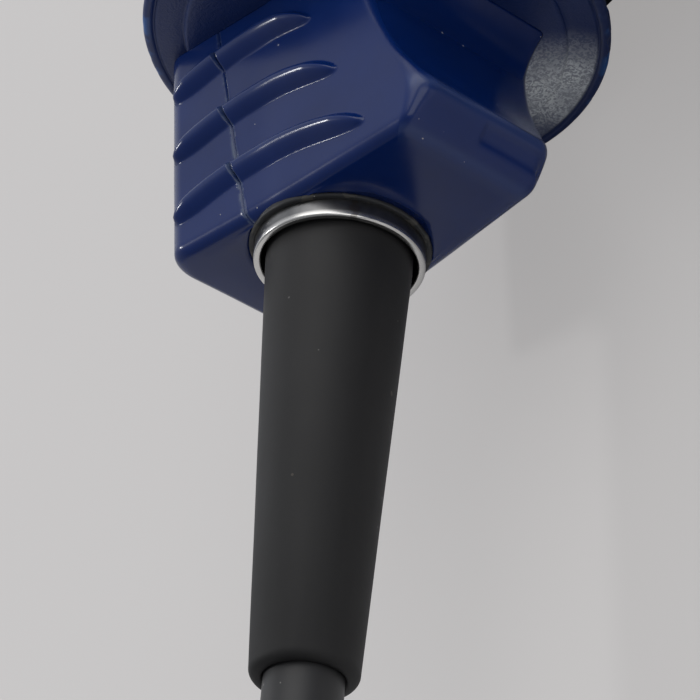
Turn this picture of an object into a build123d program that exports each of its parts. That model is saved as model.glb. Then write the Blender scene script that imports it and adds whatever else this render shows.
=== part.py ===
from build123d import *
from math import cos, radians
import os

# Motorized pipette controller, pistol shaped, in millimetres.
# The origin is the centre of the pipette socket's mouth. The nose axis is Y and the nose points to -Y,
# the handle leaves the head towards +X, and Z is the thickness. The controller lies on its -Z side.

# Pipette socket and the adapter around it
socket_radius = 3.5
socket_depth = 12.0
lip_length = 8.0
lip_wall = 1.3
air_radius = 2.2
adapter_step = 0.6
adapter_flange_thickness = 2.2

# Clearances
running_gap = 0.05
slip_gap = 0.1
seat_gap = 0.3

# Collar and its gasket
collar_radius = 11.0
collar_wall = 1.0
collar_proud = 2.8
collar_depth = 9.7
gasket_width = 0.75
gasket_depth = 2.0
gasket_proud = 0.4

# Nosepiece, filter and seal
nose_length = 59.0
nose_tip_wall = 1.0
nose_collar_gap = 0.6
nose_end_wall = 3.0
nose_end_rounding = 1.2
nose_bore_length = 33.0
nose_thread_wall = 1.8
filter_wall = 2.4
filter_slip = 0.2
filter_thickness = 9.5
filter_spigot_radius = 3.0
filter_spigot_length = 2.0
seal_thickness = 2.0
thread_length = 14.0

# Nose block, in two shells that part across the nose axis
block_length = 31.0
block_front = 19.6
block_back = 24.9
block_side_wall = 1.2
block_front_spread = 2.2
block_back_taper = 2.0
block_flare = 4.0
block_corner = 3.0
block_front_corner = 4.0
block_edge = 1.4
block_wall = 2.2
chamfer_out = 4.1
chamfer_rise = 5.5
scoop_middle_in = 1.2
scoop_middle_rise = 12.8
scoop_end_in = 5.2
scoop_end_rise = 22.4
scoop_flare = 1.8
scoop_flare_dip = 0.45
shell_split = 3.6
shell_lean = 4.5
rib_first = 7.2
rib_pitch = 9.4
rib_count = 3
rib_height = 1.7
rib_width = 3.2
rib_setback = 2.4
rib_straight = 25.2
rib_shortening = 4.5
rib_taper = 10.0
rib_tip_width = 0.6
rib_corner = 1.4
collar_boss_wall = 2.2
collar_boss_extra = 4.0

# Guard flange
flange_radius = 31.2
flange_thickness = 3.2
flange_offset = 4.0
flange_rim_width = 5.7
flange_step = 0.8

# Nose stem and its nut
stem_flange_gap = 0.4
stem_flange_thickness = 3.0
stem_waist_radius = 4.4
stem_tail_radius = 4.0
stem_tail_length = 8.0
stem_air_radius = 2.0
nut_radius = 6.3
nut_thickness = 4.0

# Battery cells, which set the handle's size
cell_radius = 7.25
cell_length = 48.0
cell_start = 49.5
cell_board_gap = 0.45
cell_back_gap = 1.75
cell_side_gap = 2.15
cell_end_gap = 3.5
contact_thickness = 0.8
contact_inset = 2.3
contact_over = 0.15

# Head and handle housing
head_x = 12.0
head_clearance = 11.5
head_radius = 24.0
head_half = 24.0
head_rounding = 3.5
neck_radius = 20.0
housing_wall = 2.2
handle_slope = 25.8
handle_corner = 11.0

# Screws
screw_radius = 1.2
screw_head_radius = 2.3
screw_head_thickness = 1.6
screw_sink = 0.6
post_radius = 2.6
post_gap = 0.4
nose_post_gap = 1.5
neck_post_in = 6.4
head_post_across = 15.2
head_post_up = 12.0
head_post_depth = 20.0
neck_post_depth = 11.0
handle_post_depth = 14.5
back_post_in = 10.0
back_post_up = 12.2
front_post_down = 11.0

# Motor and pump
motor_radius = 12.0
motor_wall = 1.2
motor_back = 20.5
motor_front = 0.5
motor_end_wall = 1.5
shaft_radius = 1.2
shaft_reach = 13.6
armature_radius = 8.4
armature_end_gap = 2.0
magnet_inner_radius = 9.0
magnet_gap = 4.0
magnet_end_gap = 2.5
mount_thickness = 2.0
mount_gap = 0.4
mount_flat = 13.0
mount_hole_radius = 2.2
pump_level = 10.0
cam_radius = 5.0
cam_throw = 1.5
cam_thickness = 5.0
rod_ring_wall = 1.7
rod_thickness = 4.4
rod_arm_width = 4.4
rod_reach = 1.1
pump_half = 7.2
diaphragm_thickness = 1.2
pump_body_height = 5.0
pump_plate_thickness = 1.0
pump_cover_height = 2.6
pump_cover_chamfer = 1.0
chamber_radius = 5.6
chamber_depth = 1.6
port_radius = 1.1
port_spacing = 8.0
port_rise = 0.5

# Speed dial and vent cap
dial_radius = 15.0
dial_gap = 0.4
dial_shaft_radius = 3.0
dial_rounding = 1.2
pot_radius = 7.0
pot_bottom = 15.4
pot_floor = 0.8
pot_shaft_gap = 0.2
vent_cap_radius = 17.0
vent_rounding = 1.2
vent_slot_count = 5
vent_slot_pitch = 4.6
vent_slot_width = 1.6
vent_slot_depth = 1.4
vent_slot_half = 9.35

# Buttons and valves, measured along the handle from the head's centre and out from its middle
button_starts = {"aspirate": 43.0, "dispense": 65.0}
button_length = 18.0
button_width = 22.0
button_corner = 5.0
button_proud = 6.0
button_rounding = 1.6
button_gap = 0.35
button_travel = 4.0
retainer_margin = 1.3
retainer_thickness = 1.6
retainer_gap = 0.2
valve_stem_radius = 2.0
valve_stem_end_gap = 0.7
valve_side = 5.5
spring_radius = 3.1
spring_wire_radius = 0.35
spring_turns = 5
spring_pocket_radius = 3.9
spring_pocket_depth = 5.0
switch_post_radius = 1.5
switch_post_gap = 0.6
switch_side = 8.0
switch_size = 6.0
switch_height = 2.5
valve_block_margin = 2.0
valve_block_left = 2.5
valve_block_right = 16.0

# Circuit board, battery door, charging jack and indicator
board_thickness = 1.4
board_top = 0.9
board_start = 33.0
board_end_gap = 3.8
door_inset = 2.5
door_end_inset = 5.5
door_half_width = 12.0
door_thickness = 2.0
door_gap = 0.3
door_travel = 8.0
door_ledge_wall = 1.4
jack_level = 8.5
jack_radius = 4.5
jack_bore_radius = 2.75
jack_bore_depth = 10.0
jack_inside = 8.0
jack_recess = 0.5
lens_place = 30.0
lens_radius = 2.2
lens_proud = 0.5
lens_depth = 3.4
lens_rounding = 0.4

# Foot
foot_length = 14.0
foot_depth = 52.0
foot_corner = 20.0
foot_rounding = 3.0

# Air tubes
tube_radius = 2.0
tube_wall = 0.8
tube_bend = 3.5
tube_run_out = 5.5

# Radii that follow from the socket outwards and from the collar inwards
lip_radius = socket_radius + lip_wall
adapter_radius = lip_radius + adapter_step
nose_bore_radius = adapter_radius + slip_gap
nose_end_radius = nose_bore_radius + nose_tip_wall
nose_root_radius = collar_radius - collar_wall - nose_collar_gap
thread_radius = nose_root_radius - nose_thread_wall
filter_bore_radius = nose_root_radius - filter_wall
adapter_flange_radius = filter_bore_radius - filter_slip
block_half_middle = collar_radius + block_side_wall
block_half_front = block_half_middle + block_front_spread
block_half_back = block_half_middle - block_back_taper
flange_step_radius = flange_radius - flange_rim_width
stem_flange_radius = block_half_middle - block_wall - stem_flange_gap

# Stations along the nose axis
nose_start = lip_length
collar_rim = nose_start + nose_length
block_face = collar_rim + collar_proud
block_end = block_face + block_length
flange_back = block_end + flange_thickness
thread_start = block_face
thread_end = thread_start + thread_length
nose_bore_end = nose_start + nose_end_wall + nose_bore_length
adapter_top = nose_bore_end + seat_gap + adapter_flange_thickness
filter_top = adapter_top + filter_thickness
seal_top = filter_top + seal_thickness
collar_bottom = block_face + collar_depth
boss_end = collar_bottom + collar_boss_extra
bulkhead = block_end - block_wall
neck_floor = flange_back + housing_wall
stem_end = neck_floor + stem_tail_length

# The handle's section and stations, in its own frame: along it, out of its back, and across
cell_level = cell_radius + cell_board_gap - board_top
cell_spacing = 2 * cell_radius + seat_gap
handle_depth = 2 * (cell_level + cell_radius + cell_back_gap + housing_wall)
handle_width = cell_spacing + 2 * (cell_radius + cell_side_gap + housing_wall)
cell_end = cell_start + cell_length
contact_half_width = cell_spacing - contact_inset
contact_half_height = cell_radius + contact_over
handle_length = cell_end + contact_thickness + cell_end_gap + housing_wall
foot_end = handle_length + foot_length
underside = handle_depth / 2
head_y = flange_back + head_clearance + underside / cos(radians(handle_slope))
inner_side = handle_width / 2 - housing_wall
board_end = handle_length - housing_wall - board_end_gap
board_bottom = board_top + board_thickness
door_start = cell_start + door_inset
door_end = cell_end - door_end_inset
retainer_bottom = -underside + housing_wall + retainer_gap
retainer_top = retainer_bottom + retainer_thickness
valve_block_top = board_bottom + seat_gap
valve_block_bottom = -(retainer_top + button_travel + seat_gap)
valve_block_start = button_starts["aspirate"] - valve_block_margin
valve_block_end = button_starts["dispense"] + button_length + valve_block_margin
handle_frame = Location((head_x, head_y, 0), (0, 0, -handle_slope))


def along_x(radius, start, end, y=0, z=0):
    return Pos((start + end) / 2, y, z) * Rot(0, 90, 0) * Cylinder(radius, end - start)


def along_y(radius, start, end, x=0, z=0):
    return Pos(x, (start + end) / 2, z) * Rot(90, 0, 0) * Cylinder(radius, end - start)


def along_z(radius, start, end, x=0, y=0):
    return Pos(x, y, (start + end) / 2) * Cylinder(radius, end - start)


def block(x_span, y_span, z_span):
    spans = (x_span, y_span, z_span)
    middle = [(low + high) / 2 for low, high in spans]
    size = [high - low for low, high in spans]
    return Pos(*middle) * Box(*size)


def handle_bar(start, end, depth, width, corner):
    """A bar of rounded section that runs along the handle, in the handle's own frame."""
    section = Plane.YZ * RectangleRounded(depth, width, corner)
    return Pos(start, 0, 0) * extrude(section, end - start)


# Nose: the tapered nosepiece and what it holds

def make_nosepiece():
    taper = Polyline(
        (0, nose_start),
        (nose_end_radius, nose_start),
        (nose_root_radius, collar_rim),
        (nose_root_radius, thread_end),
        (0, thread_end),
        (0, nose_start),
    )
    body = revolve(make_face(Plane.XY * taper), Axis.Y)
    tip = body.edges().filter_by(GeomType.CIRCLE).sort_by(Axis.Y)[0]
    body = fillet(tip, nose_end_rounding)
    body -= along_y(lip_radius + running_gap, nose_start, nose_start + nose_end_wall)
    body -= along_y(nose_bore_radius, nose_start + nose_end_wall, nose_bore_end)
    body -= along_y(filter_bore_radius, nose_bore_end, thread_start)
    body -= along_y(thread_radius, thread_start, thread_end)
    return body


def make_pipette_adapter():
    body = along_y(lip_radius, 0, nose_start + nose_end_wall)
    body += along_y(adapter_radius, nose_start + nose_end_wall + seat_gap, nose_bore_end)
    body += along_y(lip_radius, nose_start + nose_end_wall, nose_start + nose_end_wall + seat_gap)
    body += along_y(adapter_radius, nose_bore_end, nose_bore_end + seat_gap)
    body += along_y(adapter_flange_radius, nose_bore_end + seat_gap, adapter_top)
    body -= along_y(socket_radius, 0, socket_depth)
    body -= along_y(air_radius, socket_depth, adapter_top)
    return body


def make_membrane_filter():
    body = along_y(adapter_flange_radius, adapter_top, filter_top)
    body -= along_y(filter_spigot_radius, filter_top - filter_spigot_length, filter_top)
    body -= along_y(air_radius, adapter_top, adapter_top + filter_spigot_length)
    return body


def make_filter_seal():
    ring = along_y(adapter_flange_radius, filter_top, seal_top)
    return ring - along_y(filter_spigot_radius, filter_top, seal_top)


def make_collar_ferrule():
    tube = along_y(collar_radius, collar_rim, collar_bottom)
    return tube - along_y(collar_radius - collar_wall, collar_rim, collar_bottom)


def make_collar_gasket():
    ring = along_y(collar_radius + gasket_width, block_face - gasket_proud, block_face + gasket_depth)
    return ring - along_y(collar_radius, block_face - gasket_proud, block_face + gasket_depth)


def make_nose_stem():
    stem = along_y(thread_radius - running_gap, seal_top + running_gap, thread_end)
    stem -= along_y(thread_radius + seat_gap, seal_top, thread_start) - along_y(
        filter_bore_radius - running_gap, seal_top, thread_start
    )
    stem += along_y(stem_waist_radius, thread_end, bulkhead)
    stem += along_y(stem_flange_radius, bulkhead - stem_flange_thickness, bulkhead)
    stem += along_y(stem_tail_radius, bulkhead, stem_end)
    return stem - along_y(stem_air_radius, seal_top, stem_end)


def make_stem_nut():
    nut = along_y(nut_radius, neck_floor, neck_floor + nut_thickness)
    return nut - along_y(stem_tail_radius, neck_floor, neck_floor + nut_thickness)


# Nose block: one outer form, hollowed and parted into a front and a rear shell

def block_side_profile(inset):
    """The block's outline seen along Z, with its end chamfer and the scoop behind it."""
    ridge = (block_back + chamfer_out, block_face + chamfer_rise)
    scoop_middle = (block_back - scoop_middle_in, block_face + scoop_middle_rise)
    scoop_end = (block_back - scoop_end_in, block_face + scoop_end_rise)
    flare_end = (scoop_end[0] + scoop_flare, block_end)
    flare_middle = (scoop_end[0] - scoop_flare_dip, (scoop_end[1] + block_end) / 2)
    outline = [
        Line((-block_front, block_end), (-block_front, block_face)),
        Line((-block_front, block_face), (block_back, block_face)),
        Line((block_back, block_face), ridge),
        ThreePointArc(ridge, scoop_middle, scoop_end),
        ThreePointArc(scoop_end, flare_middle, flare_end),
        Line(flare_end, (-block_front, block_end)),
    ]
    profile = make_face(outline)
    if inset > 0:
        return offset(profile, -inset, kind=Kind.INTERSECTION)
    if inset < 0:
        return offset(profile, -inset, kind=Kind.ARC)
    return profile


def block_section(inset, level):
    """The block's section across the nose axis at that level. It grows thicker towards the flange."""
    growth = block_flare * (level - block_face) / block_length - inset
    front = -block_front + inset
    ridge = block_back + chamfer_out - inset
    outline = Polyline(
        (front, block_half_front + growth),
        (0, block_half_middle + growth),
        (ridge, block_half_back + growth),
        (ridge, -block_half_back - growth),
        (0, -block_half_middle - growth),
        (front, -block_half_front - growth),
        close=True,
    )
    section = make_face(Plane.XZ * outline)
    for place, radius in ((front, block_front_corner), (ridge, block_corner)):
        corners = section.vertices().filter_by(lambda v: abs(v.X - place) < block_edge / 2)
        section = fillet(corners, max(radius - inset, block_edge))
    return Pos(0, level, 0) * section


def block_form(inset):
    side = extrude(block_side_profile(inset), 2 * block_half_middle, both=True)
    ends = [block_section(inset, level) for level in (block_face + inset, block_end - inset)]
    return side & loft(ends, ruled=True)


def rib_outline(straight):
    """One rib seen along Z: rounded near the front of the block and drawn out to a point behind."""
    front = -block_front + rib_setback
    shoulder = front + straight
    tip = shoulder + rib_taper
    half = rib_width / 2
    outline = make_face(Polyline(
        (front, half),
        (shoulder, half),
        (tip, rib_tip_width / 2),
        (tip, -rib_tip_width / 2),
        (shoulder, -half),
        (front, -half),
        close=True,
    ))
    return fillet(outline.vertices().sort_by(Axis.X)[:2], rib_corner)


def make_ribs():
    skin = block_form(-rib_height)
    ribs = Part()
    for index in range(rib_count):
        level = block_face + rib_first + index * rib_pitch
        outline = rib_outline(rib_straight - index * rib_shortening)
        bar = extrude(outline, block_half_front + block_flare + 2 * rib_height, both=True)
        ribs += Pos(0, level, 0) * bar & skin
    return ribs


def nose_screw_places():
    level = thread_end + post_radius + nose_post_gap
    across = stem_waist_radius + post_radius + seat_gap
    return [(level, -across), (level, across)]


def make_nose_block():
    form = block_form(0)
    face_edges = form.faces().sort_by(Axis.Y)[0].edges()
    form = fillet(face_edges, block_edge)
    form += make_ribs()
    hollow = block_form(block_wall)
    hollow -= along_y(collar_radius + collar_boss_wall, block_face, boss_end)
    for level, across in nose_screw_places():
        hollow -= along_x(post_radius, -block_front, block_back, level, across)
    form -= hollow
    form -= along_y(collar_radius, block_face, collar_bottom)
    form -= along_y(collar_radius + gasket_width, block_face, block_face + gasket_depth)
    form -= along_y(collar_radius - collar_wall, collar_bottom, boss_end)
    form -= along_y(stem_tail_radius + seat_gap, bulkhead, block_end)
    for level, across in nose_screw_places():
        form -= nose_screw(level, across, 2 * screw_head_thickness)
    return form


def nose_screw(level, across, reach):
    """A screw along X whose head, or the hole for it, reaches that far out of its seat."""
    seat = -block_front + screw_head_thickness + screw_sink
    head = along_x(screw_head_radius, seat - reach, seat, level, across)
    return head + along_x(screw_radius, seat, 2 * shell_split, level, across)


def make_nose_screws():
    screws = Part()
    for level, across in nose_screw_places():
        screws += nose_screw(level, across, screw_head_thickness)
    return screws


def shell_half(body, front):
    """The part of the block on one side of the parting plane, which leans forward towards the flange."""
    reach = 2 * flange_radius
    lean = reach * shell_lean / block_length
    side = -reach if front else reach
    outline = Polyline(
        (side, block_face - reach),
        (-shell_split + lean, block_face - reach),
        (-shell_split - shell_lean - lean, block_end + reach),
        (side, block_end + reach),
        close=True,
    )
    return body & extrude(make_face(outline), reach, both=True)


def make_guard_flange():
    disc = along_y(flange_radius, block_end + flange_step, flange_back, flange_offset)
    disc += along_y(flange_step_radius, block_end, block_end + flange_step, flange_offset)
    rings = disc.edges().filter_by(GeomType.CIRCLE)
    rim = rings.filter_by(lambda e: e.radius > flange_step_radius + flange_step)
    disc = fillet(rim, flange_step)
    return disc - along_y(stem_tail_radius + seat_gap, block_end, flange_back)


# Head and handle

def housing_form(inset):
    """Head drum, neck and handle in one form, drawn in by the wall for the hollow."""
    radius = head_radius - inset
    drum = along_z(radius, -head_half + inset, head_half - inset)
    drum = fillet(drum.edges().filter_by(GeomType.CIRCLE), head_rounding - inset)
    handle = handle_bar(
        0,
        handle_length - inset,
        handle_depth - 2 * inset,
        handle_width - 2 * inset,
        handle_corner - inset,
    )
    neck = along_y(neck_radius - inset, flange_back + inset, head_y - inset, flange_offset)
    return Pos(head_x, head_y, 0) * drum + handle_frame * handle + neck


def housing_screw_places():
    """Where each housing screw stands, and how far its head is sunk below the middle."""
    by_head = handle_frame * Pos(cell_start - back_post_in, back_post_up, 0)
    by_foot = handle_frame * Pos(valve_block_end + post_radius + post_gap, -front_post_down, 0)
    return [
        (flange_offset - neck_radius + neck_post_in, neck_floor + neck_post_in, neck_post_depth),
        (head_x - head_post_across, head_y + head_post_up, head_post_depth),
        (by_head.position.X, by_head.position.Y, handle_post_depth),
        (by_foot.position.X, by_foot.position.Y, handle_post_depth),
    ]


def housing_screw(x, y, depth, reach):
    head = along_z(screw_head_radius, -depth - reach, -depth, x, y)
    return head + along_z(screw_radius, -depth, depth / 2, x, y)


def button_stem_place(name):
    return button_starts[name] + button_length / 2


def button_window(name, gap):
    """The window that a button's head slides through, in the handle's frame."""
    section = RectangleRounded(button_length + 2 * gap, button_width + 2 * gap, button_corner)
    window = extrude(Plane.XZ * section, 2 * housing_wall + button_proud, both=True)
    return Pos(button_stem_place(name), -underside, 0) * window


def retainer_room(name):
    """The flat seat inside the wall that the button's retainer rests on and leaves as it is pressed."""
    half_length = button_length / 2 + retainer_margin + button_gap
    half_width = button_width / 2 + retainer_margin + button_gap
    middle = button_stem_place(name)
    return block(
        (middle - half_length, middle + half_length),
        (-underside + housing_wall, -valve_block_bottom),
        (-half_width, half_width),
    )


def door_room(start, end, half_width, depth):
    """A slice of the handle's back wall, in the handle's frame."""
    return block((start, end), (underside - depth, underside + 5), (-half_width, half_width))


def make_housing():
    body = housing_form(0)
    hollow = housing_form(housing_wall)
    slide_start = door_start - door_gap - door_travel
    door_ledge = door_room(
        slide_start - housing_wall,
        door_start - door_gap,
        door_half_width + housing_wall,
        door_thickness + door_gap + door_ledge_wall,
    )
    hollow -= handle_frame * door_ledge
    for x, y, depth in housing_screw_places():
        hollow -= along_z(post_radius, -head_half, head_half, x, y)
    body -= hollow
    for x, y, depth in housing_screw_places():
        body -= housing_screw(x, y, depth, head_half - depth + 1)
    for name in button_starts:
        body -= handle_frame * button_window(name, button_gap)
        body -= handle_frame * retainer_room(name)
    body -= handle_frame * door_room(
        slide_start, door_end + door_gap, door_half_width + door_gap, door_thickness + door_gap
    )
    body -= along_y(stem_tail_radius + seat_gap, flange_back, neck_floor)
    body -= along_z(dial_shaft_radius + seat_gap, 0, head_half, head_x, head_y)
    body -= handle_frame * along_z(lens_radius, 0, handle_width, lens_place, 0)
    body -= handle_frame * along_x(
        jack_radius + running_gap, handle_length - 2 * housing_wall, handle_length, -jack_level, 0
    )
    return body


def housing_half(body, left):
    reach = 3 * head_y
    span = (0, head_half) if left else (-head_half, 0)
    return body & block((-reach, reach), (-reach, reach), span)


def make_housing_screws():
    screws = Part()
    for x, y, depth in housing_screw_places():
        screws += housing_screw(x, y, depth, screw_head_thickness)
    return screws


def make_vent_cap():
    cap = along_z(vent_cap_radius, -flange_radius, -head_half)
    cap = fillet(cap.edges().filter_by(GeomType.CIRCLE).sort_by(Axis.Z)[0], vent_rounding)
    for index in range(vent_slot_count):
        level = (index - (vent_slot_count - 1) / 2) * vent_slot_pitch
        y_span = (level - vent_slot_width / 2, level + vent_slot_width / 2)
        z_span = (-flange_radius, -flange_radius + vent_slot_depth)
        cap -= block((-vent_slot_half, vent_slot_half), y_span, z_span)
    return Pos(head_x, head_y, 0) * cap


def make_speed_dial():
    knob = along_z(dial_radius, head_half + dial_gap, flange_radius)
    knob = fillet(knob.edges().filter_by(GeomType.CIRCLE).sort_by(Axis.Z)[-1], dial_rounding)
    knob += along_z(dial_shaft_radius, pot_bottom + pot_floor + pot_shaft_gap, head_half + dial_gap)
    return Pos(head_x, head_y, 0) * knob


def make_speed_pot():
    top = head_half - housing_wall
    pot = along_z(pot_radius, pot_bottom, top, head_x, head_y)
    return pot - along_z(dial_shaft_radius + running_gap, pot_bottom + pot_floor, top, head_x, head_y)


# Motor and pump, with the motor's axis across the head

def head_z(radius, start, end):
    return along_z(radius, start, end, head_x, head_y)


def make_motor_can():
    can = head_z(motor_radius, -motor_back, motor_front)
    can -= head_z(motor_radius - motor_wall, -motor_back + motor_end_wall, motor_front - motor_end_wall)
    return can - head_z(shaft_radius + running_gap, -motor_back, motor_front)


def make_motor_magnets():
    start = -motor_back + motor_end_wall + magnet_end_gap
    end = motor_front - motor_end_wall - magnet_end_gap
    outer = motor_radius - motor_wall - running_gap
    ring = head_z(outer, start, end) - head_z(magnet_inner_radius, start, end)
    half_gap = magnet_gap / 2
    gap = block((-motor_radius, motor_radius), (-half_gap, half_gap), (-motor_back, motor_front))
    return ring - Pos(head_x, head_y, 0) * gap


def make_motor_rotor():
    rotor = head_z(shaft_radius, -motor_back, shaft_reach)
    start = -motor_back + motor_end_wall + armature_end_gap
    end = motor_front - motor_end_wall - armature_end_gap
    return rotor + head_z(armature_radius, start, end)


def make_eccentric_cam():
    start = pump_level - cam_thickness / 2
    end = pump_level + cam_thickness / 2
    cam = along_z(cam_radius, start, end, head_x, head_y + cam_throw)
    return cam - head_z(shaft_radius, start, end)


def make_motor_mount():
    start = motor_front
    end = motor_front + mount_thickness
    plate = head_z(head_radius - housing_wall - mount_gap, start, end)
    plate -= head_z(mount_hole_radius, start, end)
    plate &= block((-head_radius, 2 * head_radius), (head_y - mount_flat, 2 * head_y), (start, end))
    for x, y, depth in housing_screw_places():
        plate -= along_z(post_radius + mount_gap, start, end, x, y)
    return plate


def rod_ring_inner():
    """The big end is left open by the cam's throw, so that the cam turns inside it."""
    return cam_radius + cam_throw + 2 * running_gap


def make_connecting_rod():
    start = pump_level - rod_thickness / 2
    end = pump_level + rod_thickness / 2
    top = pump_levels()[0]
    outer = rod_ring_inner() + rod_ring_wall
    ring = head_z(outer, start, end) - head_z(rod_ring_inner(), start, end)
    half_arm = rod_arm_width / 2
    foot = head_y + outer - rod_ring_wall / 2
    arm = block((head_x - half_arm, head_x + half_arm), (foot, top), (start, end))
    return ring + arm


def pump_slab(start, height):
    x_span = (head_x - pump_half, head_x + pump_half)
    z_span = (pump_level - pump_half, pump_level + pump_half)
    return block(x_span, (start, start + height), z_span)


def pump_levels():
    diaphragm = head_y + rod_ring_inner() + rod_ring_wall + rod_reach
    body = diaphragm + diaphragm_thickness
    plate = body + pump_body_height
    cover = plate + pump_plate_thickness
    return diaphragm, body, plate, cover


def make_diaphragm():
    diaphragm, body, plate, cover = pump_levels()
    return along_y(pump_half, diaphragm, body, head_x, pump_level)


def pump_ports():
    return (pump_level - port_spacing / 2, pump_level + port_spacing / 2)


def make_pump_body():
    diaphragm, body, plate, cover = pump_levels()
    slab = pump_slab(body, pump_body_height)
    slab -= along_y(chamber_radius, body, body + chamber_depth, head_x, pump_level)
    for port in pump_ports():
        slab -= along_y(port_radius, body, plate, head_x, port)
        slab -= along_x(port_radius, head_x, head_x + pump_half, (body + plate) / 2 + port_rise, port)
    bracket = block(
        (head_x - pump_half, head_x + pump_half),
        (body, plate),
        (motor_front + mount_thickness, pump_level - pump_half),
    )
    return slab + bracket


def make_pump_valve_plate():
    diaphragm, body, plate, cover = pump_levels()
    return pump_slab(plate, pump_plate_thickness)


def make_pump_cover():
    diaphragm, body, plate, cover = pump_levels()
    slab = pump_slab(cover, pump_cover_height)
    return chamfer(slab.faces().sort_by(Axis.Y)[-1].edges(), pump_cover_chamfer)


# Buttons and the valves behind them, in the handle's frame

def make_button(name):
    middle = button_stem_place(name)
    section = RectangleRounded(button_length, button_width, button_corner)
    head_height = retainer_bottom + underside + button_proud
    head = extrude(Plane.XZ * section, head_height, dir=(0, 1, 0))
    head = Pos(middle, -underside - button_proud, 0) * head
    outer_edges = head.faces().sort_by(Axis.Y)[0].edges()
    head = fillet(outer_edges, button_rounding)
    margin = 2 * retainer_margin
    plate = RectangleRounded(button_length + margin, button_width + margin, button_corner)
    retainer = extrude(Plane.XZ * plate, retainer_thickness, dir=(0, 1, 0))
    head += Pos(middle, retainer_bottom, 0) * retainer
    post_top = -(board_bottom + switch_height + button_travel + switch_post_gap)
    head += along_y(switch_post_radius, retainer_top, post_top, middle, switch_side)
    return handle_frame * head


def make_valve_stem(name):
    top = -(board_bottom + button_travel + valve_stem_end_gap)
    stem = along_y(valve_stem_radius, retainer_top, top, button_stem_place(name), -valve_side)
    return handle_frame * stem


def make_button_spring(name):
    start = retainer_top + spring_wire_radius
    end = -valve_block_bottom + spring_pocket_depth - spring_wire_radius
    height = end - start
    path = Helix(height / spring_turns, height, spring_radius)
    section = Plane(origin=path @ 0, z_dir=path % 0) * Circle(spring_wire_radius)
    coil = sweep(section, path=path, is_frenet=True)
    place = Pos(button_stem_place(name), start, -valve_side) * Rot(-90, 0, 0)
    return handle_frame * place * coil


def make_valve_block():
    body = block(
        (valve_block_start, valve_block_end),
        (-valve_block_bottom, -valve_block_top),
        (-valve_block_right, valve_block_left),
    )
    for name in button_starts:
        middle = button_stem_place(name)
        pocket_end = -valve_block_bottom + spring_pocket_depth
        body -= along_y(
            valve_stem_radius + running_gap, -valve_block_bottom, -valve_block_top, middle, -valve_side
        )
        body -= along_y(spring_pocket_radius, -valve_block_bottom, pocket_end, middle, -valve_side)
    return handle_frame * body


# Electrics

def make_circuit_board():
    board = block(
        (board_start, board_end),
        (-board_bottom, -board_top),
        (seat_gap - inner_side, inner_side - seat_gap),
    )
    return handle_frame * board


def make_microswitches():
    switches = Part()
    for name in button_starts:
        middle = button_stem_place(name)
        half = switch_size / 2
        switches += block(
            (middle - half, middle + half),
            (-board_bottom - switch_height, -board_bottom),
            (switch_side - half, switch_side + half),
        )
    return handle_frame * switches


def make_battery_cells():
    cells = Part()
    for side in (-1, 1):
        across = side * cell_spacing / 2
        cells += along_x(cell_radius, cell_start, cell_end, cell_level, across)
    return handle_frame * cells


def make_battery_contacts():
    plates = Part()
    y_span = (cell_level - contact_half_height, cell_level + contact_half_height)
    z_span = (-contact_half_width, contact_half_width)
    for start in (cell_start - contact_thickness, cell_end):
        plates += block((start, start + contact_thickness), y_span, z_span)
    return handle_frame * plates


def make_battery_door():
    bar = handle_bar(door_start, door_end, handle_depth, handle_width, handle_corner)
    room = door_room(door_start, door_end, door_half_width, door_thickness)
    return handle_frame * (bar & room)


def make_charge_jack():
    start = handle_length - jack_inside
    end = foot_end - jack_recess
    jack = along_x(jack_radius, start, end, -jack_level, 0)
    jack -= along_x(jack_bore_radius, end - jack_bore_depth, end, -jack_level, 0)
    return handle_frame * jack


def make_indicator_lens():
    top = handle_width / 2 + lens_proud
    lens = along_z(lens_radius, top - lens_depth, top, lens_place, 0)
    lens = fillet(lens.edges().filter_by(GeomType.CIRCLE).sort_by(Axis.Z)[-1], lens_rounding)
    return handle_frame * lens


def make_butt_foot():
    foot = handle_bar(handle_length, foot_end, foot_depth, 2 * flange_radius, foot_corner)
    ends = foot.faces().sort_by(Axis.X)
    foot = fillet(ends[0].edges() + ends[-1].edges(), foot_rounding)
    foot -= along_x(jack_radius + running_gap, handle_length, foot_end, -jack_level, 0)
    return handle_frame * foot


# Air tubes, each bent from straight runs and round turns

def make_tube(points):
    path = FilletPolyline(*points, radius=tube_bend)
    plane = Plane(origin=path @ 0, z_dir=path % 0)
    ring = plane * (Circle(tube_radius) - Circle(tube_radius - tube_wall))
    return sweep(ring, path=path)


def in_handle(x, y, z):
    place = handle_frame * Pos(x, y, z)
    return tuple(place.position)


def make_air_tubes():
    diaphragm, body, plate, cover = pump_levels()
    port_y = (body + plate) / 2 + port_rise
    port_x = head_x + pump_half
    into_block = -(valve_block_top + valve_block_bottom) / 2
    tubes = Part()
    low_port, high_port = pump_ports()
    tubes += make_tube([
        (port_x, port_y, low_port),
        (port_x + tube_run_out, port_y, low_port),
        in_handle(29, 6, low_port),
        in_handle(29, into_block, -1),
        in_handle(valve_block_start, into_block, -1),
    ])
    tubes += make_tube([
        (0, stem_end, 0),
        (0, stem_end + tube_run_out, 0),
        in_handle(23, into_block - 6.5, -4),
        in_handle(31, into_block, -9),
        in_handle(valve_block_start, into_block, -9),
    ])
    return tubes


def write_part(name, shape):
    shape.label = name
    export_step(shape, os.path.join("parts", name + ".step"))


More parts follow.
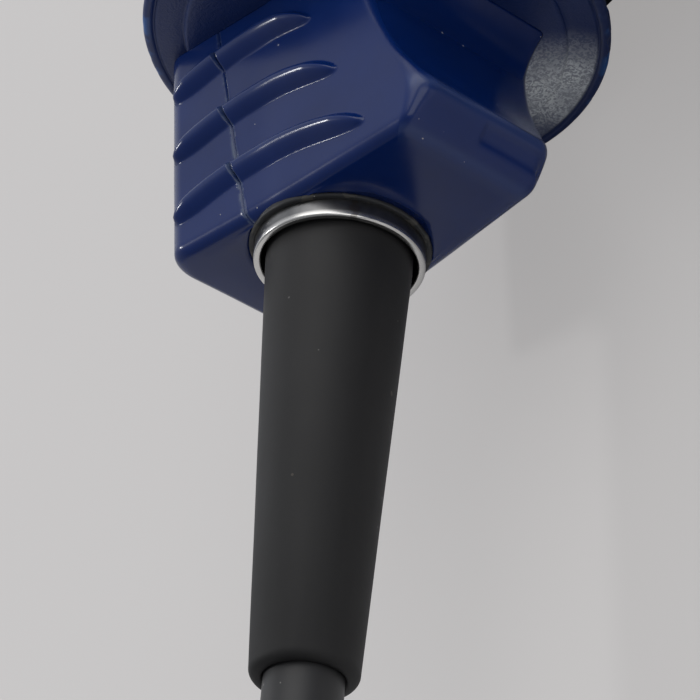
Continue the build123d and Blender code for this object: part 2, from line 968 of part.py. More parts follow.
def main():
    os.makedirs("parts", exist_ok=True)
    nose_block = make_nose_block()
    housing = make_housing()
    parts = {
        "nosepiece": make_nosepiece(),
        "pipette_adapter": make_pipette_adapter(),
        "membrane_filter": make_membrane_filter(),
        "filter_seal": make_filter_seal(),
        "collar_ferrule": make_collar_ferrule(),
        "collar_gasket": make_collar_gasket(),
        "nose_stem": make_nose_stem(),
        "stem_nut": make_stem_nut(),
        "nose_shell_front": shell_half(nose_block, True),
        "nose_shell_rear": shell_half(nose_block, False),
        "nose_screws": make_nose_screws(),
        "guard_flange": make_guard_flange(),
        "housing_left": housing_half(housing, True),
        "housing_right": housing_half(housing, False),
        "housing_screws": make_housing_screws(),
        "vent_cap": make_vent_cap(),
        "speed_dial": make_speed_dial(),
        "speed_pot": make_speed_pot(),
        "valve_block": make_valve_block(),
        "motor_can": make_motor_can(),
        "motor_magnets": make_motor_magnets(),
        "motor_rotor": make_motor_rotor(),
        "eccentric_cam": make_eccentric_cam(),
        "motor_mount": make_motor_mount(),
        "connecting_rod": make_connecting_rod(),
        "pump_diaphragm": make_diaphragm(),
        "pump_body": make_pump_body(),
        "pump_valve_plate": make_pump_valve_plate(),
        "pump_cover": make_pump_cover(),
        "air_tubes": make_air_tubes(),
        "circuit_board": make_circuit_board(),
        "microswitches": make_microswitches(),
        "battery_cells": make_battery_cells(),
        "battery_contacts": make_battery_contacts(),
        "battery_door": make_battery_door(),
        "charge_jack": make_charge_jack(),
        "indicator_lens": make_indicator_lens(),
        "butt_foot": make_butt_foot(),
    }
    for name in button_starts:
        parts[name + "_button"] = make_button(name)
        parts[name + "_valve_stem"] = make_valve_stem(name)
        parts[name + "_spring"] = make_button_spring(name)
    for name, shape in parts.items():
        write_part(name, shape)


main()
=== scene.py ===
import math

import bmesh
import bpy
import numpy as np
from mathutils import Matrix, Vector, noise


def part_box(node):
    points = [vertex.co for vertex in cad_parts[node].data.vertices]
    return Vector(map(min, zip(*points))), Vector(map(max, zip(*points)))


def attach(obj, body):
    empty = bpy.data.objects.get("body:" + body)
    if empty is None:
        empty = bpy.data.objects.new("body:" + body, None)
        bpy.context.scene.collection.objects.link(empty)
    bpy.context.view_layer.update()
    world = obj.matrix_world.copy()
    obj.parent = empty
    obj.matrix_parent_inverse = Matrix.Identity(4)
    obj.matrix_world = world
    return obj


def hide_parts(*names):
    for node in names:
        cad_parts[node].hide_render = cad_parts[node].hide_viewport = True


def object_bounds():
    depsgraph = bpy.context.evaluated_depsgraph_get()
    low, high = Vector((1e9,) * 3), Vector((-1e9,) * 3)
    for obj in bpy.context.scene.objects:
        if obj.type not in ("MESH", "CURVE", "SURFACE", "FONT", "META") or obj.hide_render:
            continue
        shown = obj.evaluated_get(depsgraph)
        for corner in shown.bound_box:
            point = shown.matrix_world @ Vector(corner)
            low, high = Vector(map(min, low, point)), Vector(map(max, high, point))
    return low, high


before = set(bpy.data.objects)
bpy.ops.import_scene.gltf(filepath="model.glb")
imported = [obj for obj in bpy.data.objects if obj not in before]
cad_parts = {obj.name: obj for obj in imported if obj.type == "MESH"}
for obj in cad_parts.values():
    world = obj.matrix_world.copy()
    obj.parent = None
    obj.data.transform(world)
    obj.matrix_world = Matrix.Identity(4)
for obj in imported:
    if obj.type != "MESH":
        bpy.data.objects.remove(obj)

cad_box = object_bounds()
scene = bpy.context.scene
scene.view_settings.view_transform = "Standard"
MM = 0.001


# ---------------------------------------------------------------- camera, floor and lamps
# The controller lies on its flat side on a pale worktop under plain soft light.
# The camera looks up the nose from its tip, from behind and above its ribbed side.
camera_place = Vector((0.2339, -0.1390, 0.1699))
camera_out = Vector((0.6696, -0.5555, 0.4931)).normalized()
camera_right = Vector((0.6209, 0.0543, -0.7820))
camera_right = (camera_right - camera_right.dot(camera_out) * camera_out).normalized()
camera_up = camera_out.cross(camera_right)
camera_roll = math.radians(0.9)
camera_right, camera_up = (
    math.cos(camera_roll) * camera_right + math.sin(camera_roll) * camera_up,
    math.cos(camera_roll) * camera_up - math.sin(camera_roll) * camera_right,
)
camera_data = bpy.data.cameras.new("view_camera")
camera_data.sensor_width = 36.0
camera_data.lens = 143.5
camera_data.clip_start = 0.01
camera_data.shift_x, camera_data.shift_y = 0.0043, 0.0021
camera = bpy.data.objects.new("view_camera", camera_data)
turn = Matrix((camera_right, camera_up, camera_out)).transposed()
camera.matrix_world = Matrix.Translation(camera_place) @ turn.to_4x4()
scene.collection.objects.link(camera)
scene.camera = camera


def shader_nodes(owner):
    """The owner's node tree, emptied."""
    owner.use_nodes = True
    owner.node_tree.nodes.clear()
    return owner.node_tree


def add(tree, kind, **values):
    """One node. Values are its properties, or its inputs where they start with in_."""
    node = tree.nodes.new(kind)
    for key, value in values.items():
        if not key.startswith("in_"):
            setattr(node, key, value)
    for key, value in values.items():
        if key.startswith("in_"):
            name = key[3:]
            socket = node.inputs[int(name)] if name.isdigit() else node.inputs[name.replace("_", " ")]
            if isinstance(value, bpy.types.NodeSocket):
                tree.links.new(value, socket)
            else:
                socket.default_value = value
    return node

def clouds(tree, place, scale, detail, **more):
    """Soft cloudy noise from 0 to 1."""
    node = add(tree, "ShaderNodeTexNoise", in_Vector=place, in_Scale=scale, in_Detail=detail, **more)
    return node.outputs["Fac"]


def between(tree, value, low, high, **more):
    """0 where the value is low and 1 where it is high."""
    node = add(tree, "ShaderNodeMapRange", in_Value=value, in_From_Min=low, in_From_Max=high, **more)
    return node.outputs[0]


worktop_level = cad_box[0][2]
worktop_half = 2.0
worktop_corners = ((-1, -1), (1, -1), (1, 1), (-1, 1))
worktop_tones = (0.66, 0.645, 0.645, 1), (0.73, 0.72, 0.71, 1)
worktop_seen, seen_share = (0.575, 0.56, 0.555, 1), 0.62
worktop_mesh = bpy.data.meshes.new("worktop")
worktop_mesh.from_pydata(
    [(x * worktop_half, y * worktop_half, worktop_level) for x, y in worktop_corners], [], [(0, 1, 2, 3)])
worktop = bpy.data.objects.new("worktop", worktop_mesh)
scene.collection.objects.link(worktop)
worktop_finish = bpy.data.materials.new("worktop_finish")
tree = shader_nodes(worktop_finish)
cloud = clouds(tree, add(tree, "ShaderNodeTexCoord").outputs["Object"], 9.0, 4.0)
tone = add(tree, "ShaderNodeMix", data_type="RGBA", in_0=cloud, in_6=worktop_tones[0], in_7=worktop_tones[1])
surface = add(tree, "ShaderNodeBsdfPrincipled", in_Base_Color=tone.outputs[2], in_Roughness=0.6)
seen = add(tree, "ShaderNodeEmission", in_Color=worktop_seen, in_Strength=1.0)
camera_ray = add(tree, "ShaderNodeLightPath").outputs["Is Camera Ray"]
straight = add(tree, "ShaderNodeMath", operation="MULTIPLY", in_0=camera_ray, in_1=seen_share)
surface = add(tree, "ShaderNodeMixShader", in_0=straight.outputs[0], in_1=surface.outputs[0],
              in_2=seen.outputs[0])
add(tree, "ShaderNodeOutputMaterial", in_Surface=surface.outputs[0])
worktop_mesh.materials.append(worktop_finish)

# The room is brighter beyond the head than in front of the nose's tip
room = bpy.data.worlds.new("room_light")
scene.world = room
tree = shader_nodes(room)
way = add(tree, "ShaderNodeTexCoord").outputs["Generated"]
way = add(tree, "ShaderNodeSeparateXYZ", in_Vector=way).outputs[1]
bright = between(tree, way, -0.7, 0.7, in_To_Min=0.2, in_To_Max=0.75)
air = add(tree, "ShaderNodeBackground", in_Color=(0.93, 0.95, 1.0, 1), in_Strength=bright)
add(tree, "ShaderNodeOutputWorld", in_Surface=air.outputs[0])

lamp_target = Vector((0.0, 0.085, 0.0))


def soft_lamp(name, place, width, height, watts, colour=(1, 1, 1)):
    """A flat lamp aimed at the nose block."""
    data = bpy.data.lights.new(name, "AREA")
    data.shape = "RECTANGLE"
    data.size, data.size_y = width, height
    data.energy, data.color = watts, colour
    lamp = bpy.data.objects.new(name, data)
    aim = lamp_target - Vector(place)
    lamp.matrix_world = Matrix.Translation(Vector(place)) @ aim.to_track_quat("-Z", "Y").to_matrix().to_4x4()
    scene.collection.objects.link(lamp)


soft_lamp("key_lamp", (0.40, 0.55, 0.80), 0.9, 0.9, 3.2, (1.0, 0.98, 0.95))
soft_lamp("fill_lamp", (0.75, -0.25, 0.45), 0.6, 0.6, 1.3)
soft_lamp("glint_lamp", (-0.62, 0.12, 0.66), 0.10, 0.08, 1.5)


# ---------------------------------------------------------------- nose block shells
# Two injection moulded shells of glossy blue plastic, screwed together across the nose.
# Three grip ribs run over each side. The parting line shows a little worn flash.
block_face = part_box("nose_shell_rear")[0].y / MM
block_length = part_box("guard_flange")[0].y / MM - block_face
block_front, block_back = 19.6, 24.9
half_front, half_middle, half_back = 14.4, 12.2, 10.2
half_growth = 4.0
front_corner, back_corner, ridge_corner = 4.0, 1.3, 3.0
face_rounding = 1.6
ridge_out, ridge_level = 29.0, 5.5
scoop_middle, scoop_end = (23.7, 12.8), (19.7, 22.4)
flare_middle, flare_end = (19.25, 26.7), (21.5, 31.0)
seam_start, seam_lean, seam_gap = -3.6, -4.5, 0.03
shell_wall = 2.2
screw_reach, counterbore, screw_seat = 2.3, 2.62, 2.25
screw_level = (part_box("nose_screws")[0].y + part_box("nose_screws")[1].y) / 2 / MM - block_face
screw_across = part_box("nose_screws")[1].z / MM - screw_reach
gasket_seat, gasket_seat_depth, collar_radius = 11.75, 1.6, 11.0
rib_levels = (7.7, 17.1, 26.4)
rib_tips = (18.2, 13.7, 9.2)
rib_sags, rib_front_sag = (0.0112, 0.017, 0.028), 0.0095
rib_front, rib_height, rib_half = -16.6, 1.6, 1.8
rib_back_taper, rib_front_taper, rib_skew, rib_mismatch = 9.5, 6.5, 0.22, 0.18
# Mesh columns over the front face, its corner, the side up to the seam and past it, the ridge and the back
shell_columns = (40, 14, 44, 110, 10, 22)
mouth_rows = 9
# Distance along the side face that stands for "off that face", out of the ribs' and the seam's reach
far_along = 99.0


def circle_through(a, b, c):
    """Centre and radius of the circle through three points of a plane."""
    m = np.array([[b[0] - a[0], b[1] - a[1]], [c[0] - a[0], c[1] - a[1]]], float)
    k = np.array([b[0]**2 + b[1]**2 - a[0]**2 - a[1]**2, c[0]**2 + c[1]**2 - a[0]**2 - a[1]**2]) / 2
    centre = np.linalg.solve(m, k)
    return centre, math.dist(centre, a)


def back_profile():
    """How far back the block reaches at each level: chamfer, ridge, finger scoop and flare."""
    level = np.linspace(-1, block_length + 1, 1321)
    scoop, scoop_radius = circle_through((ridge_out, ridge_level), scoop_middle, scoop_end)
    flare, flare_radius = circle_through(scoop_end, flare_middle, flare_end)
    chamfer = block_back + (ridge_out - block_back) * level / ridge_level
    in_scoop = scoop[0] - np.sqrt(np.clip(scoop_radius**2 - (level - scoop[1])**2, 0, None))
    in_flare = flare[0] - np.sqrt(np.clip(flare_radius**2 - (level - flare[1])**2, 0, None))
    reach = np.where(level > ridge_level, in_scoop, chamfer)
    reach = np.where(level > scoop_end[1], in_flare, reach)
    half_width, spread = 120, 48.0
    kernel = np.exp(-(np.arange(-half_width, half_width + 1) / spread)**2)
    padded = np.pad(reach, half_width, mode="edge")
    return level, np.convolve(padded, kernel / kernel.sum(), "valid")


profile_level, profile_reach = back_profile()


def smooth_step(low, high, value):
    """0 up to low and 1 from high on, with a soft rise between."""
    t = np.clip((value - low) / (high - low), 0, 1)
    return t * t * (3 - 2 * t)


def half_section(level, inset):
    """Half of the block's section, from the middle of its front face round to the middle of its back.
    Each row is x, z, the outward direction's x and z, and how far along the side face the point is."""
    growth = half_growth * level / block_length - inset
    front = -block_front + inset
    back = np.interp(level, profile_level, profile_reach) - inset
    near_ridge = math.exp(-((level - ridge_level) / 3.0)**2)
    round_back = back_corner + (ridge_corner - back_corner) * near_ridge
    seam = seam_start + seam_lean * level / block_length

    def top(x):
        on_front = half_middle + (half_front - half_middle) * -x / block_front
        on_back = half_middle + (half_back - half_middle) * x / ridge_out
        blend = smooth_step(-3, 3, x)
        return growth + on_front * (1 - blend) + on_back * blend

    on_face, on_corner, to_seam, past_seam, on_ridge, on_back_face = shell_columns
    arc_share = 1.6
    rows = []
    corner_x = front + front_corner
    corner_z = top(corner_x) - front_corner
    for z in np.linspace(0, corner_z, on_face, endpoint=False):
        rows.append((front, z, -1, 0, corner_x - arc_share * front_corner - (corner_z - z)))
    for angle in np.linspace(math.pi, math.pi / 2, on_corner, endpoint=False):
        nx, nz = math.cos(angle), math.sin(angle)
        along = corner_x - front_corner * (angle - math.pi / 2)
        rows.append((corner_x + front_corner * nx, corner_z + front_corner * nz, nx, nz, along))
    for x in seam + (corner_x - seam) * np.linspace(1, 0, to_seam)**1.5:
        rows.append((x, top(x), 0, 1, x))
    for x in seam + (back - round_back - seam) * np.linspace(0, 1, past_seam)**1.35:
        rows.append((x, top(x), 0, 1, x))
    corner_x = back - round_back
    corner_z = top(corner_x) - round_back
    for angle in np.linspace(math.pi / 2, 0, on_ridge + 1)[1:]:
        nx, nz = math.cos(angle), math.sin(angle)
        rows.append((corner_x + round_back * nx, corner_z + round_back * nz, nx, nz, far_along))
    for z in np.linspace(corner_z, 0, on_back_face + 1)[1:]:
        rows.append((back, z, 1, 0, far_along))
    return np.array(rows)


def rib_lift(level, along, front_half):
    """Height of the grip ribs over the side face: arched bars with round backs and blunt ends."""
    lift = np.zeros_like(along)
    for middle, tip, sag in zip(rib_levels, rib_tips, rib_sags):
        middle = middle + (rib_mismatch if front_half else 0.0)
        line = middle - np.where(along > 0, sag, rib_front_sag) * along**2
        behind = np.clip((tip - along) / rib_back_taper, 0, 1)
        before = np.clip((along - rib_front) / rib_front_taper, 0, 1)
        taper = np.sqrt(1 - (1 - behind)**2.2) * np.sqrt(1 - (1 - before)**2.0)
        width = rib_half * taper
        across = np.clip((level - line) / np.maximum(width, 1e-3), -1, 1)
        crest = np.where(across > rib_skew, (across - rib_skew) / (1 - rib_skew),
                         (rib_skew - across) / (1 + rib_skew))
        roof = 1 - np.clip((np.sqrt(crest**2 + 0.03) - 0.17) / 0.845, 0, 1)**1.45
        lift = np.maximum(lift, rib_height * np.minimum(taper * 1.15, 1)**0.9 * roof)
    return lift


def noise_over(x, y, z):
    """Smooth noise from -1 to 1 at each point. x, y and z are arrays of one shape, or plain numbers."""
    x, y, z = np.broadcast_arrays(x, y, z)
    return np.array([noise.noise(p) for p in zip(x.ravel(), y.ravel(), z.ravel())]).reshape(x.shape)


def mesh_piece(name, points, faces):
    """A mesh from points in millimetres, linked to the scene."""
    mesh = bpy.data.meshes.new(name)
    mesh.from_pydata([tuple(p) for p in np.asarray(points) * MM], [], faces)
    mesh.validate()
    mesh.update()
    mesh.polygons.foreach_set("use_smooth", [True] * len(mesh.polygons))
    piece = bpy.data.objects.new(name, mesh)
    scene.collection.objects.link(piece)
    return piece


def grid_faces(rows, columns, start=0, close=False):
    """The faces between the rows of a grid of points. A closed grid joins its last column to its first."""
    faces = []
    last = columns if close else columns - 1
    for i in range(rows - 1):
        for j in range(last):
            k = (j + 1) % columns
            a = start + i * columns
            faces.append((a + j, a + k, a + columns + k, a + columns + j))
    return faces


def shell_levels():
    """Each mesh row's level up the block and how far its end rounding draws it in, closest over the ribs."""
    turns = np.linspace(0, math.pi / 2, 11)[:-1]
    levels = [(face_rounding * (1 - math.cos(t)), face_rounding * (1 - math.sin(t))) for t in turns]
    level = face_rounding
    while level < block_length:
        levels.append((level, 0.0))
        near_rib = min(abs(level - m + 1.2) for m in rib_levels) < 3.4
        level += 0.18 if near_rib else 0.4
    return levels + [(block_length, 0.0)]


def round_the_nose(over, under, front_half):
    """A row over the ribbed side and one under the flat side, as one run from seam to seam."""
    return np.concatenate([under[:0:-1], over] if front_half else [over, under[-2::-1]])


def shell_row(level, inset, front_half):
    """One row of a shell: its outside, its inside, how worn the flash is and how pale its crests are painted,
    with a painted highlight along the ridge and the end face's edge.
    """
    half = half_section(level, inset)
    deep = half_section(max(level, shell_wall), shell_wall)
    cut = sum(shell_columns[:3])
    half, deep = (half[:cut], deep[:cut]) if front_half else (half[cut:], deep[cut:])
    to_seam = np.abs(half[:, 4] - (seam_start + seam_lean * level / block_length))
    lift = rib_lift(level, half[:, 4], front_half) * (half[:, 3] > -0.5) * (level > 0.4)
    lift *= 1 - 0.75 * np.exp(-(to_seam / 0.24)**2)
    # The parting line is a fine groove with a bead of flash beside it, worn down toward the flange
    ripple = noise_over(half[:, 0] * 1.3, level * 1.9, half[:, 1] * 1.3)
    proud = (0.07 if front_half else 0.0) - 0.20 * np.exp(-(to_seam / 0.13)**2)
    worn_down = 0.35 + 0.65 * (1 - smooth_step(6, 24, level))
    bead = (0.06 if front_half else 0.16) * np.exp(-((to_seam - 0.34) / 0.16)**2) * worn_down
    rise = lift + proud + bead * (0.7 + 1.3 * ripple)
    # Paler: the worn flash, the ribs' crests, and a painted highlight along the ridge and the edge of the end
    # face
    worn = np.clip(np.exp(-((to_seam - 0.24) / 0.17)**2) * (0.7 + 1.2 * ripple) * worn_down * 1.3, 0, 1)
    crest = np.clip((lift - 0.75 * rib_height) / (0.25 * rib_height), 0, 1) * 0.4
    # Painted highlight along the back ridge and along the end face's rounded edge
    painted_edge_highlight = np.exp(-((level - 5.6) / 1.1)**2) + 0.8 * np.exp(-((level - 0.35) / 0.35)**2) * (inset > 0)
    crest = np.maximum(crest, painted_edge_highlight * (half[:, 2] > 0.3))
    # Counterbores take the screws' heads in front, and a nail groove crosses the back on the flat side
    from_screw = np.hypot(level - screw_level, half[:, 1] - screw_across)
    on_front = half[:, 2] < -0.9
    nail_groove = smooth_step(2.1, 2.7, level) * (1 - smooth_step(4.0, 4.6, level))
    post = 0.0
    outer, inner = [], []
    for side in (1, -1):
        z = half[:, 1] * side
        if front_half:
            dent = screw_seat * (1 - smooth_step(screw_reach, counterbore, from_screw)) * on_front
            post = screw_seat * (1 - smooth_step(3.4, 3.9, from_screw)) * on_front
        elif side < 0:
            dent = 0.45 * nail_groove * (half[:, 2] > 0.5) * smooth_step(-1.0, -0.2, -np.abs(z) + 10)
        else:
            dent = 0.0
        out = rise + 0.05 * noise_over(half[:, 0] / 9.0, level / 9.0, z / 9.0 + 3) - dent
        flat = np.full(len(half), level)
        outer.append(np.stack([half[:, 0] + half[:, 2] * out, flat, z + side * half[:, 3] * out], 1))
        flat = np.full(len(deep), max(level, shell_wall))
        inner.append(np.stack([deep[:, 0] + post, flat, deep[:, 1] * side], 1))
    pairs = (outer, inner, (worn, worn), (crest, crest))
    return [round_the_nose(over, under, front_half) for over, under in pairs]


def mouth(first, deep_first):
    """The rows that carry the end face in to the hole that the gasket sits in, outside and inside."""
    radius, deep_radius = np.hypot(first[:, 0], first[:, 2]), np.hypot(deep_first[:, 0], deep_first[:, 2])
    unit, deep_unit = first[:, (0, 2)] / radius[:, None], deep_first[:, (0, 2)] / deep_radius[:, None]
    hole = np.minimum(gasket_seat, radius * 0.97)
    deep_hole = np.maximum(np.minimum(gasket_seat + 1.4, deep_radius * 0.97), collar_radius - 0.4)
    outer, inner = [], []
    for step in range(mouth_rows, 0, -1):
        share = step / mouth_rows
        reach = radius + (hole - radius) * share
        bulge = np.full(len(reach), -0.12 * math.sin(math.pi * share))
        outer.append(np.stack([unit[:, 0] * reach, bulge, unit[:, 1] * reach], 1))
        reach = deep_radius + (deep_hole - deep_radius) * share
        flat = np.full(len(reach), shell_wall)
        inner.append(np.stack([deep_unit[:, 0] * reach, flat, deep_unit[:, 1] * reach], 1))
    seat, behind = outer[0].copy(), inner[0].copy()
    seat[:, 1] = gasket_seat_depth
    behind[:, 1] -= 0.3
    return [seat] + outer, [behind] + inner


def walled_faces(rows, count):
    """The faces of an outer and an inner grid, joined along all four edges."""
    n = rows * count
    faces = grid_faces(rows, count)
    faces += [tuple(reversed(face)) for face in grid_faces(rows, count, n)]
    last = (rows - 1) * count
    for j in range(count - 1):
        faces.append((j, n + j, n + j + 1, j + 1))
        faces.append((last + j + 1, n + last + j + 1, n + last + j, last + j))
    for i in range(rows - 1):
        a, b = i * count, (i + 1) * count
        faces.append((b, n + b, n + a, a))
        a, b = a + count - 1, b + count - 1
        faces.append((a, n + a, n + b, b))
    return faces


def make_shell(name, front_half):
    """One shell of the block as a closed wall, with its flash wear and its paler crests, which carry a
    painted highlight along the ridge and the end face's edge, kept as the attributes flash and crest.
    """
    made = [shell_row(level, inset, front_half) for level, inset in shell_levels()]
    outer, inner, flash, crest = (list(rows) for rows in zip(*made))
    mouth_outer, mouth_inner = mouth(outer[0], inner[0])
    outer, inner = mouth_outer + outer, mouth_inner + inner
    rows, count = len(outer), len(outer[0])
    index = np.arange(count)
    at_seam = np.exp(-(index / 1.2)**2) + np.exp(-((count - 1 - index) / 1.2)**2)
    flash = [at_seam * 0.6] * len(mouth_outer) + flash
    crest = [np.zeros(count)] * len(mouth_outer) + crest
    points = np.concatenate(outer + inner)
    points[:, 1] += block_face
    points[:, 0] += -seam_gap / 2 if front_half else seam_gap / 2
    piece = mesh_piece(name, points, walled_faces(rows, count))
    for label, values in (("flash", flash), ("crest", crest)):
        layer = piece.data.attributes.new(label, "FLOAT", "POINT")
        values = np.concatenate(values + [np.zeros(rows * count)]).astype(np.float32)
        layer.data.foreach_set("value", values)
    return piece


def effect_group(name, inputs, outputs):
    """An empty shader node group with the named inputs (name, default) and outputs (name, kind)."""
    group = bpy.data.node_groups.new(name, "ShaderNodeTree")
    for label, default in inputs:
        kind = "NodeSocketVector" if default is None else "NodeSocketFloat"
        socket = group.interface.new_socket(label, in_out="INPUT", socket_type=kind)
        if default is not None:
            socket.default_value = default
    for label, kind in outputs:
        group.interface.new_socket(label, in_out="OUTPUT", socket_type=kind)
    return group, group.nodes.new("NodeGroupInput"), group.nodes.new("NodeGroupOutput")


def maths(tree, operation, first, second=0.0, clamp=False):
    """The output of one sum on the tree."""
    node = add(tree, "ShaderNodeMath", operation=operation, use_clamp=clamp, in_0=first, in_1=second)
    return node.outputs[0]


# Handling marks: pale dust specks, lint, long hair scratches and smeary finger film, as masks from 0 to 1
group, ins, outs = effect_group(
    "handling_marks",
    (("Vector", None), ("Speck size", 900.0), ("Speck amount", 0.5), ("Scratch amount", 0.5)),
    (("Specks", "NodeSocketFloat"), ("Scratches", "NodeSocketFloat"), ("Film", "NodeSocketFloat")),
)
place = ins.outputs["Vector"]
cells = add(group, "ShaderNodeTexVoronoi", in_Vector=place, in_Scale=ins.outputs["Speck size"],
            in_Randomness=1.0)
chance = add(group, "ShaderNodeSeparateColor", in_Color=cells.outputs["Color"])
reach = maths(group, "ADD", maths(group, "MULTIPLY", chance.outputs[1], 0.07), 0.035)
close = maths(group, "LESS_THAN", cells.outputs["Distance"], reach)
share = maths(group, "MULTIPLY", ins.outputs["Speck amount"], 0.2)
rare = maths(group, "LESS_THAN", chance.outputs[0], share)
group.links.new(maths(group, "MULTIPLY", close, rare), outs.inputs["Specks"])
bend = add(group, "ShaderNodeTexNoise", in_Vector=place, in_Scale=60.0, in_Detail=2.0).outputs["Color"]
bend = add(group, "ShaderNodeVectorMath", operation="SCALE", in_0=bend, in_Scale=0.012).outputs[0]
bent = add(group, "ShaderNodeVectorMath", operation="ADD", in_0=place, in_1=bend).outputs[0]
hairs = add(group, "ShaderNodeTexVoronoi", feature="DISTANCE_TO_EDGE", in_Vector=bent, in_Scale=140.0,
            in_Randomness=1.0)
hair = maths(group, "LESS_THAN", hairs.outputs["Distance"], 0.010)
bare = maths(group, "SUBTRACT", 0.78, maths(group, "MULTIPLY", ins.outputs["Scratch amount"], 0.2))
patch = maths(group, "GREATER_THAN", clouds(group, place, 110.0, 3.0), bare)
group.links.new(maths(group, "MULTIPLY", hair, patch), outs.inputs["Scratches"])
group.links.new(clouds(group, place, 85.0, 5.0, in_Roughness=0.6), outs.inputs["Film"])
handling_marks = group

# Moulded grain: the fine pebbled skin of a sand blasted mould, as a height
group, ins, outs = effect_group(
    "moulded_grain",
    (("Vector", None), ("Fineness", 2600.0), ("Mix", 0.5)),
    (("Height", "NodeSocketFloat"),),
)
place, fineness = ins.outputs["Vector"], ins.outputs["Fineness"]
pebble = add(group, "ShaderNodeTexVoronoi", feature="SMOOTH_F1", in_Vector=place, in_Scale=fineness,
             in_Smoothness=0.6)
fine = clouds(group, place, maths(group, "MULTIPLY", fineness, 0.6), 3.0)
blend = add(group, "ShaderNodeMix", data_type="FLOAT", in_0=ins.outputs["Mix"],
            in_2=pebble.outputs["Distance"], in_3=fine)
group.links.new(blend.outputs[0], outs.inputs["Height"])
moulded_grain = group


def use_group(tree, group, **values):
    """The effect group placed in the tree with its own values."""
    node = tree.nodes.new("ShaderNodeGroup")
    node.node_tree = group
    for key, value in values.items():
        socket = node.inputs[key.replace("_", " ")]
        if isinstance(value, bpy.types.NodeSocket):
            tree.links.new(value, socket)
        else:
            socket.default_value = value
    return node


def blend_colour(tree, mask, under, over):
    """Under where the mask is 0 and over where it is 1. Each is a colour or a socket."""
    node = add(tree, "ShaderNodeMix", data_type="RGBA")
    for index, value in ((0, mask), (6, under), (7, over)):
        if isinstance(value, bpy.types.NodeSocket):
            tree.links.new(value, node.inputs[index])
        elif index == 0:
            node.inputs[0].default_value = value
        else:
            node.inputs[index].default_value = (*value[:3], 1)
    return node.outputs[2]


def grown(tree, mask, low, high):
    """The mask's 0 to 1 spread over low to high."""
    return add(tree, "ShaderNodeMapRange", in_Value=mask, in_To_Min=low, in_To_Max=high).outputs[0]


def plain_finish(name, colour, roughness, *, shade=0.75, grain=2600.0, grain_depth=0.02, grain_mix=0.5,
                 specks=0.4, speck_size=900.0, scratches=0.4, dust=(0.55, 0.53, 0.5), metallic=0.0, coat=0.0,
                 specular=0.5, extra=None):
    """A moulded or turned finish: uneven colour and gloss, fine grain, dust specks and hair scratches."""
    finish = bpy.data.materials.new(name)
    tree = shader_nodes(finish)
    place = add(tree, "ShaderNodeTexCoord").outputs["Object"]
    marks = use_group(tree, handling_marks, Vector=place, Speck_size=speck_size, Speck_amount=specks,
                      Scratch_amount=scratches)
    height = use_group(tree, moulded_grain, Vector=place, Fineness=grain, Mix=grain_mix).outputs[0]
    film = marks.outputs["Film"]
    darker, paler = (c * shade for c in colour), (min(c * (2 - shade), 1) for c in colour)
    base = blend_colour(tree, film, tuple(darker), tuple(paler))
    rough = grown(tree, film, max(roughness - 0.07, 0.02), min(roughness + 0.09, 1))
    if extra:
        base, rough, height = extra(tree, place, base, rough, height)
    base = blend_colour(tree, maths(tree, "MULTIPLY", marks.outputs["Scratches"], 0.35), base, dust)
    base = blend_colour(tree, maths(tree, "MULTIPLY", marks.outputs["Specks"], 0.8), base, dust)
    rough = maths(tree, "ADD", rough, maths(tree, "MULTIPLY", marks.outputs["Scratches"], 0.25), clamp=True)
    bump = add(tree, "ShaderNodeBump", in_Strength=0.35, in_Distance=grain_depth * MM, in_Height=height)
    bump = bump.outputs[0]
    surface = add(tree, "ShaderNodeBsdfPrincipled", in_Base_Color=base, in_Roughness=rough, in_Normal=bump)
    surface.inputs["Metallic"].default_value = metallic
    surface.inputs["Specular IOR Level"].default_value = specular
    surface.inputs["Coat Weight"].default_value = coat
    surface.inputs["Coat Roughness"].default_value = 0.12
    add(tree, "ShaderNodeOutputMaterial", in_Surface=surface.outputs[0])
    return finish


def blue_skin(tree, place, base, rough, height):
    """Worn parting flash shows paler than the blue. The crest attribute paints the ribs' crests paler, and
    paints a highlight along the ridge and the end face's edge.
    """
    flash = add(tree, "ShaderNodeAttribute", attribute_name="flash").outputs["Fac"]
    crest = add(tree, "ShaderNodeAttribute", attribute_name="crest").outputs["Fac"]
    base = blend_colour(tree, maths(tree, "MULTIPLY", flash, 0.42), base, (0.13, 0.17, 0.22))
    # Painted highlight: the crest attribute lightens the ribs' crests, the ridge and the end face's edge
    base = blend_colour(tree, maths(tree, "MULTIPLY", crest, 0.4), base, (0.055, 0.085, 0.20))
    rough = maths(tree, "ADD", rough, maths(tree, "MULTIPLY", flash, 0.15), clamp=True)
    return base, rough, height


block_blue = (0.0013, 0.0160, 0.108)
blue_shell = plain_finish("blue_shell", block_blue, 0.19, specular=0.42, grain=700.0, grain_depth=0.03,
                          grain_mix=1.0, specks=0.35, speck_size=620.0, scratches=0.15, extra=blue_skin)
for name, node, front_half in (("front_shell", "nose_shell_front", True),
                               ("rear_shell", "nose_shell_rear", False)):
    shell = make_shell(name, front_half)
    shell.data.materials.append(blue_shell)
    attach(shell, "controller")
    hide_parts(node)


# ---------------------------------------------------------------- collar ferrule and gasket
# A turned steel ring pressed into the nose block guides the nosepiece. Its outside behind the rim is
# darker, in clouds, with crusts of grime, and it sits on a dark rubber ring that gathers grime.
collar_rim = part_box("collar_ferrule")[0].y / MM
collar_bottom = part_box("collar_ferrule")[1].y / MM
collar_wall = 1.0
collar_edge = 0.32


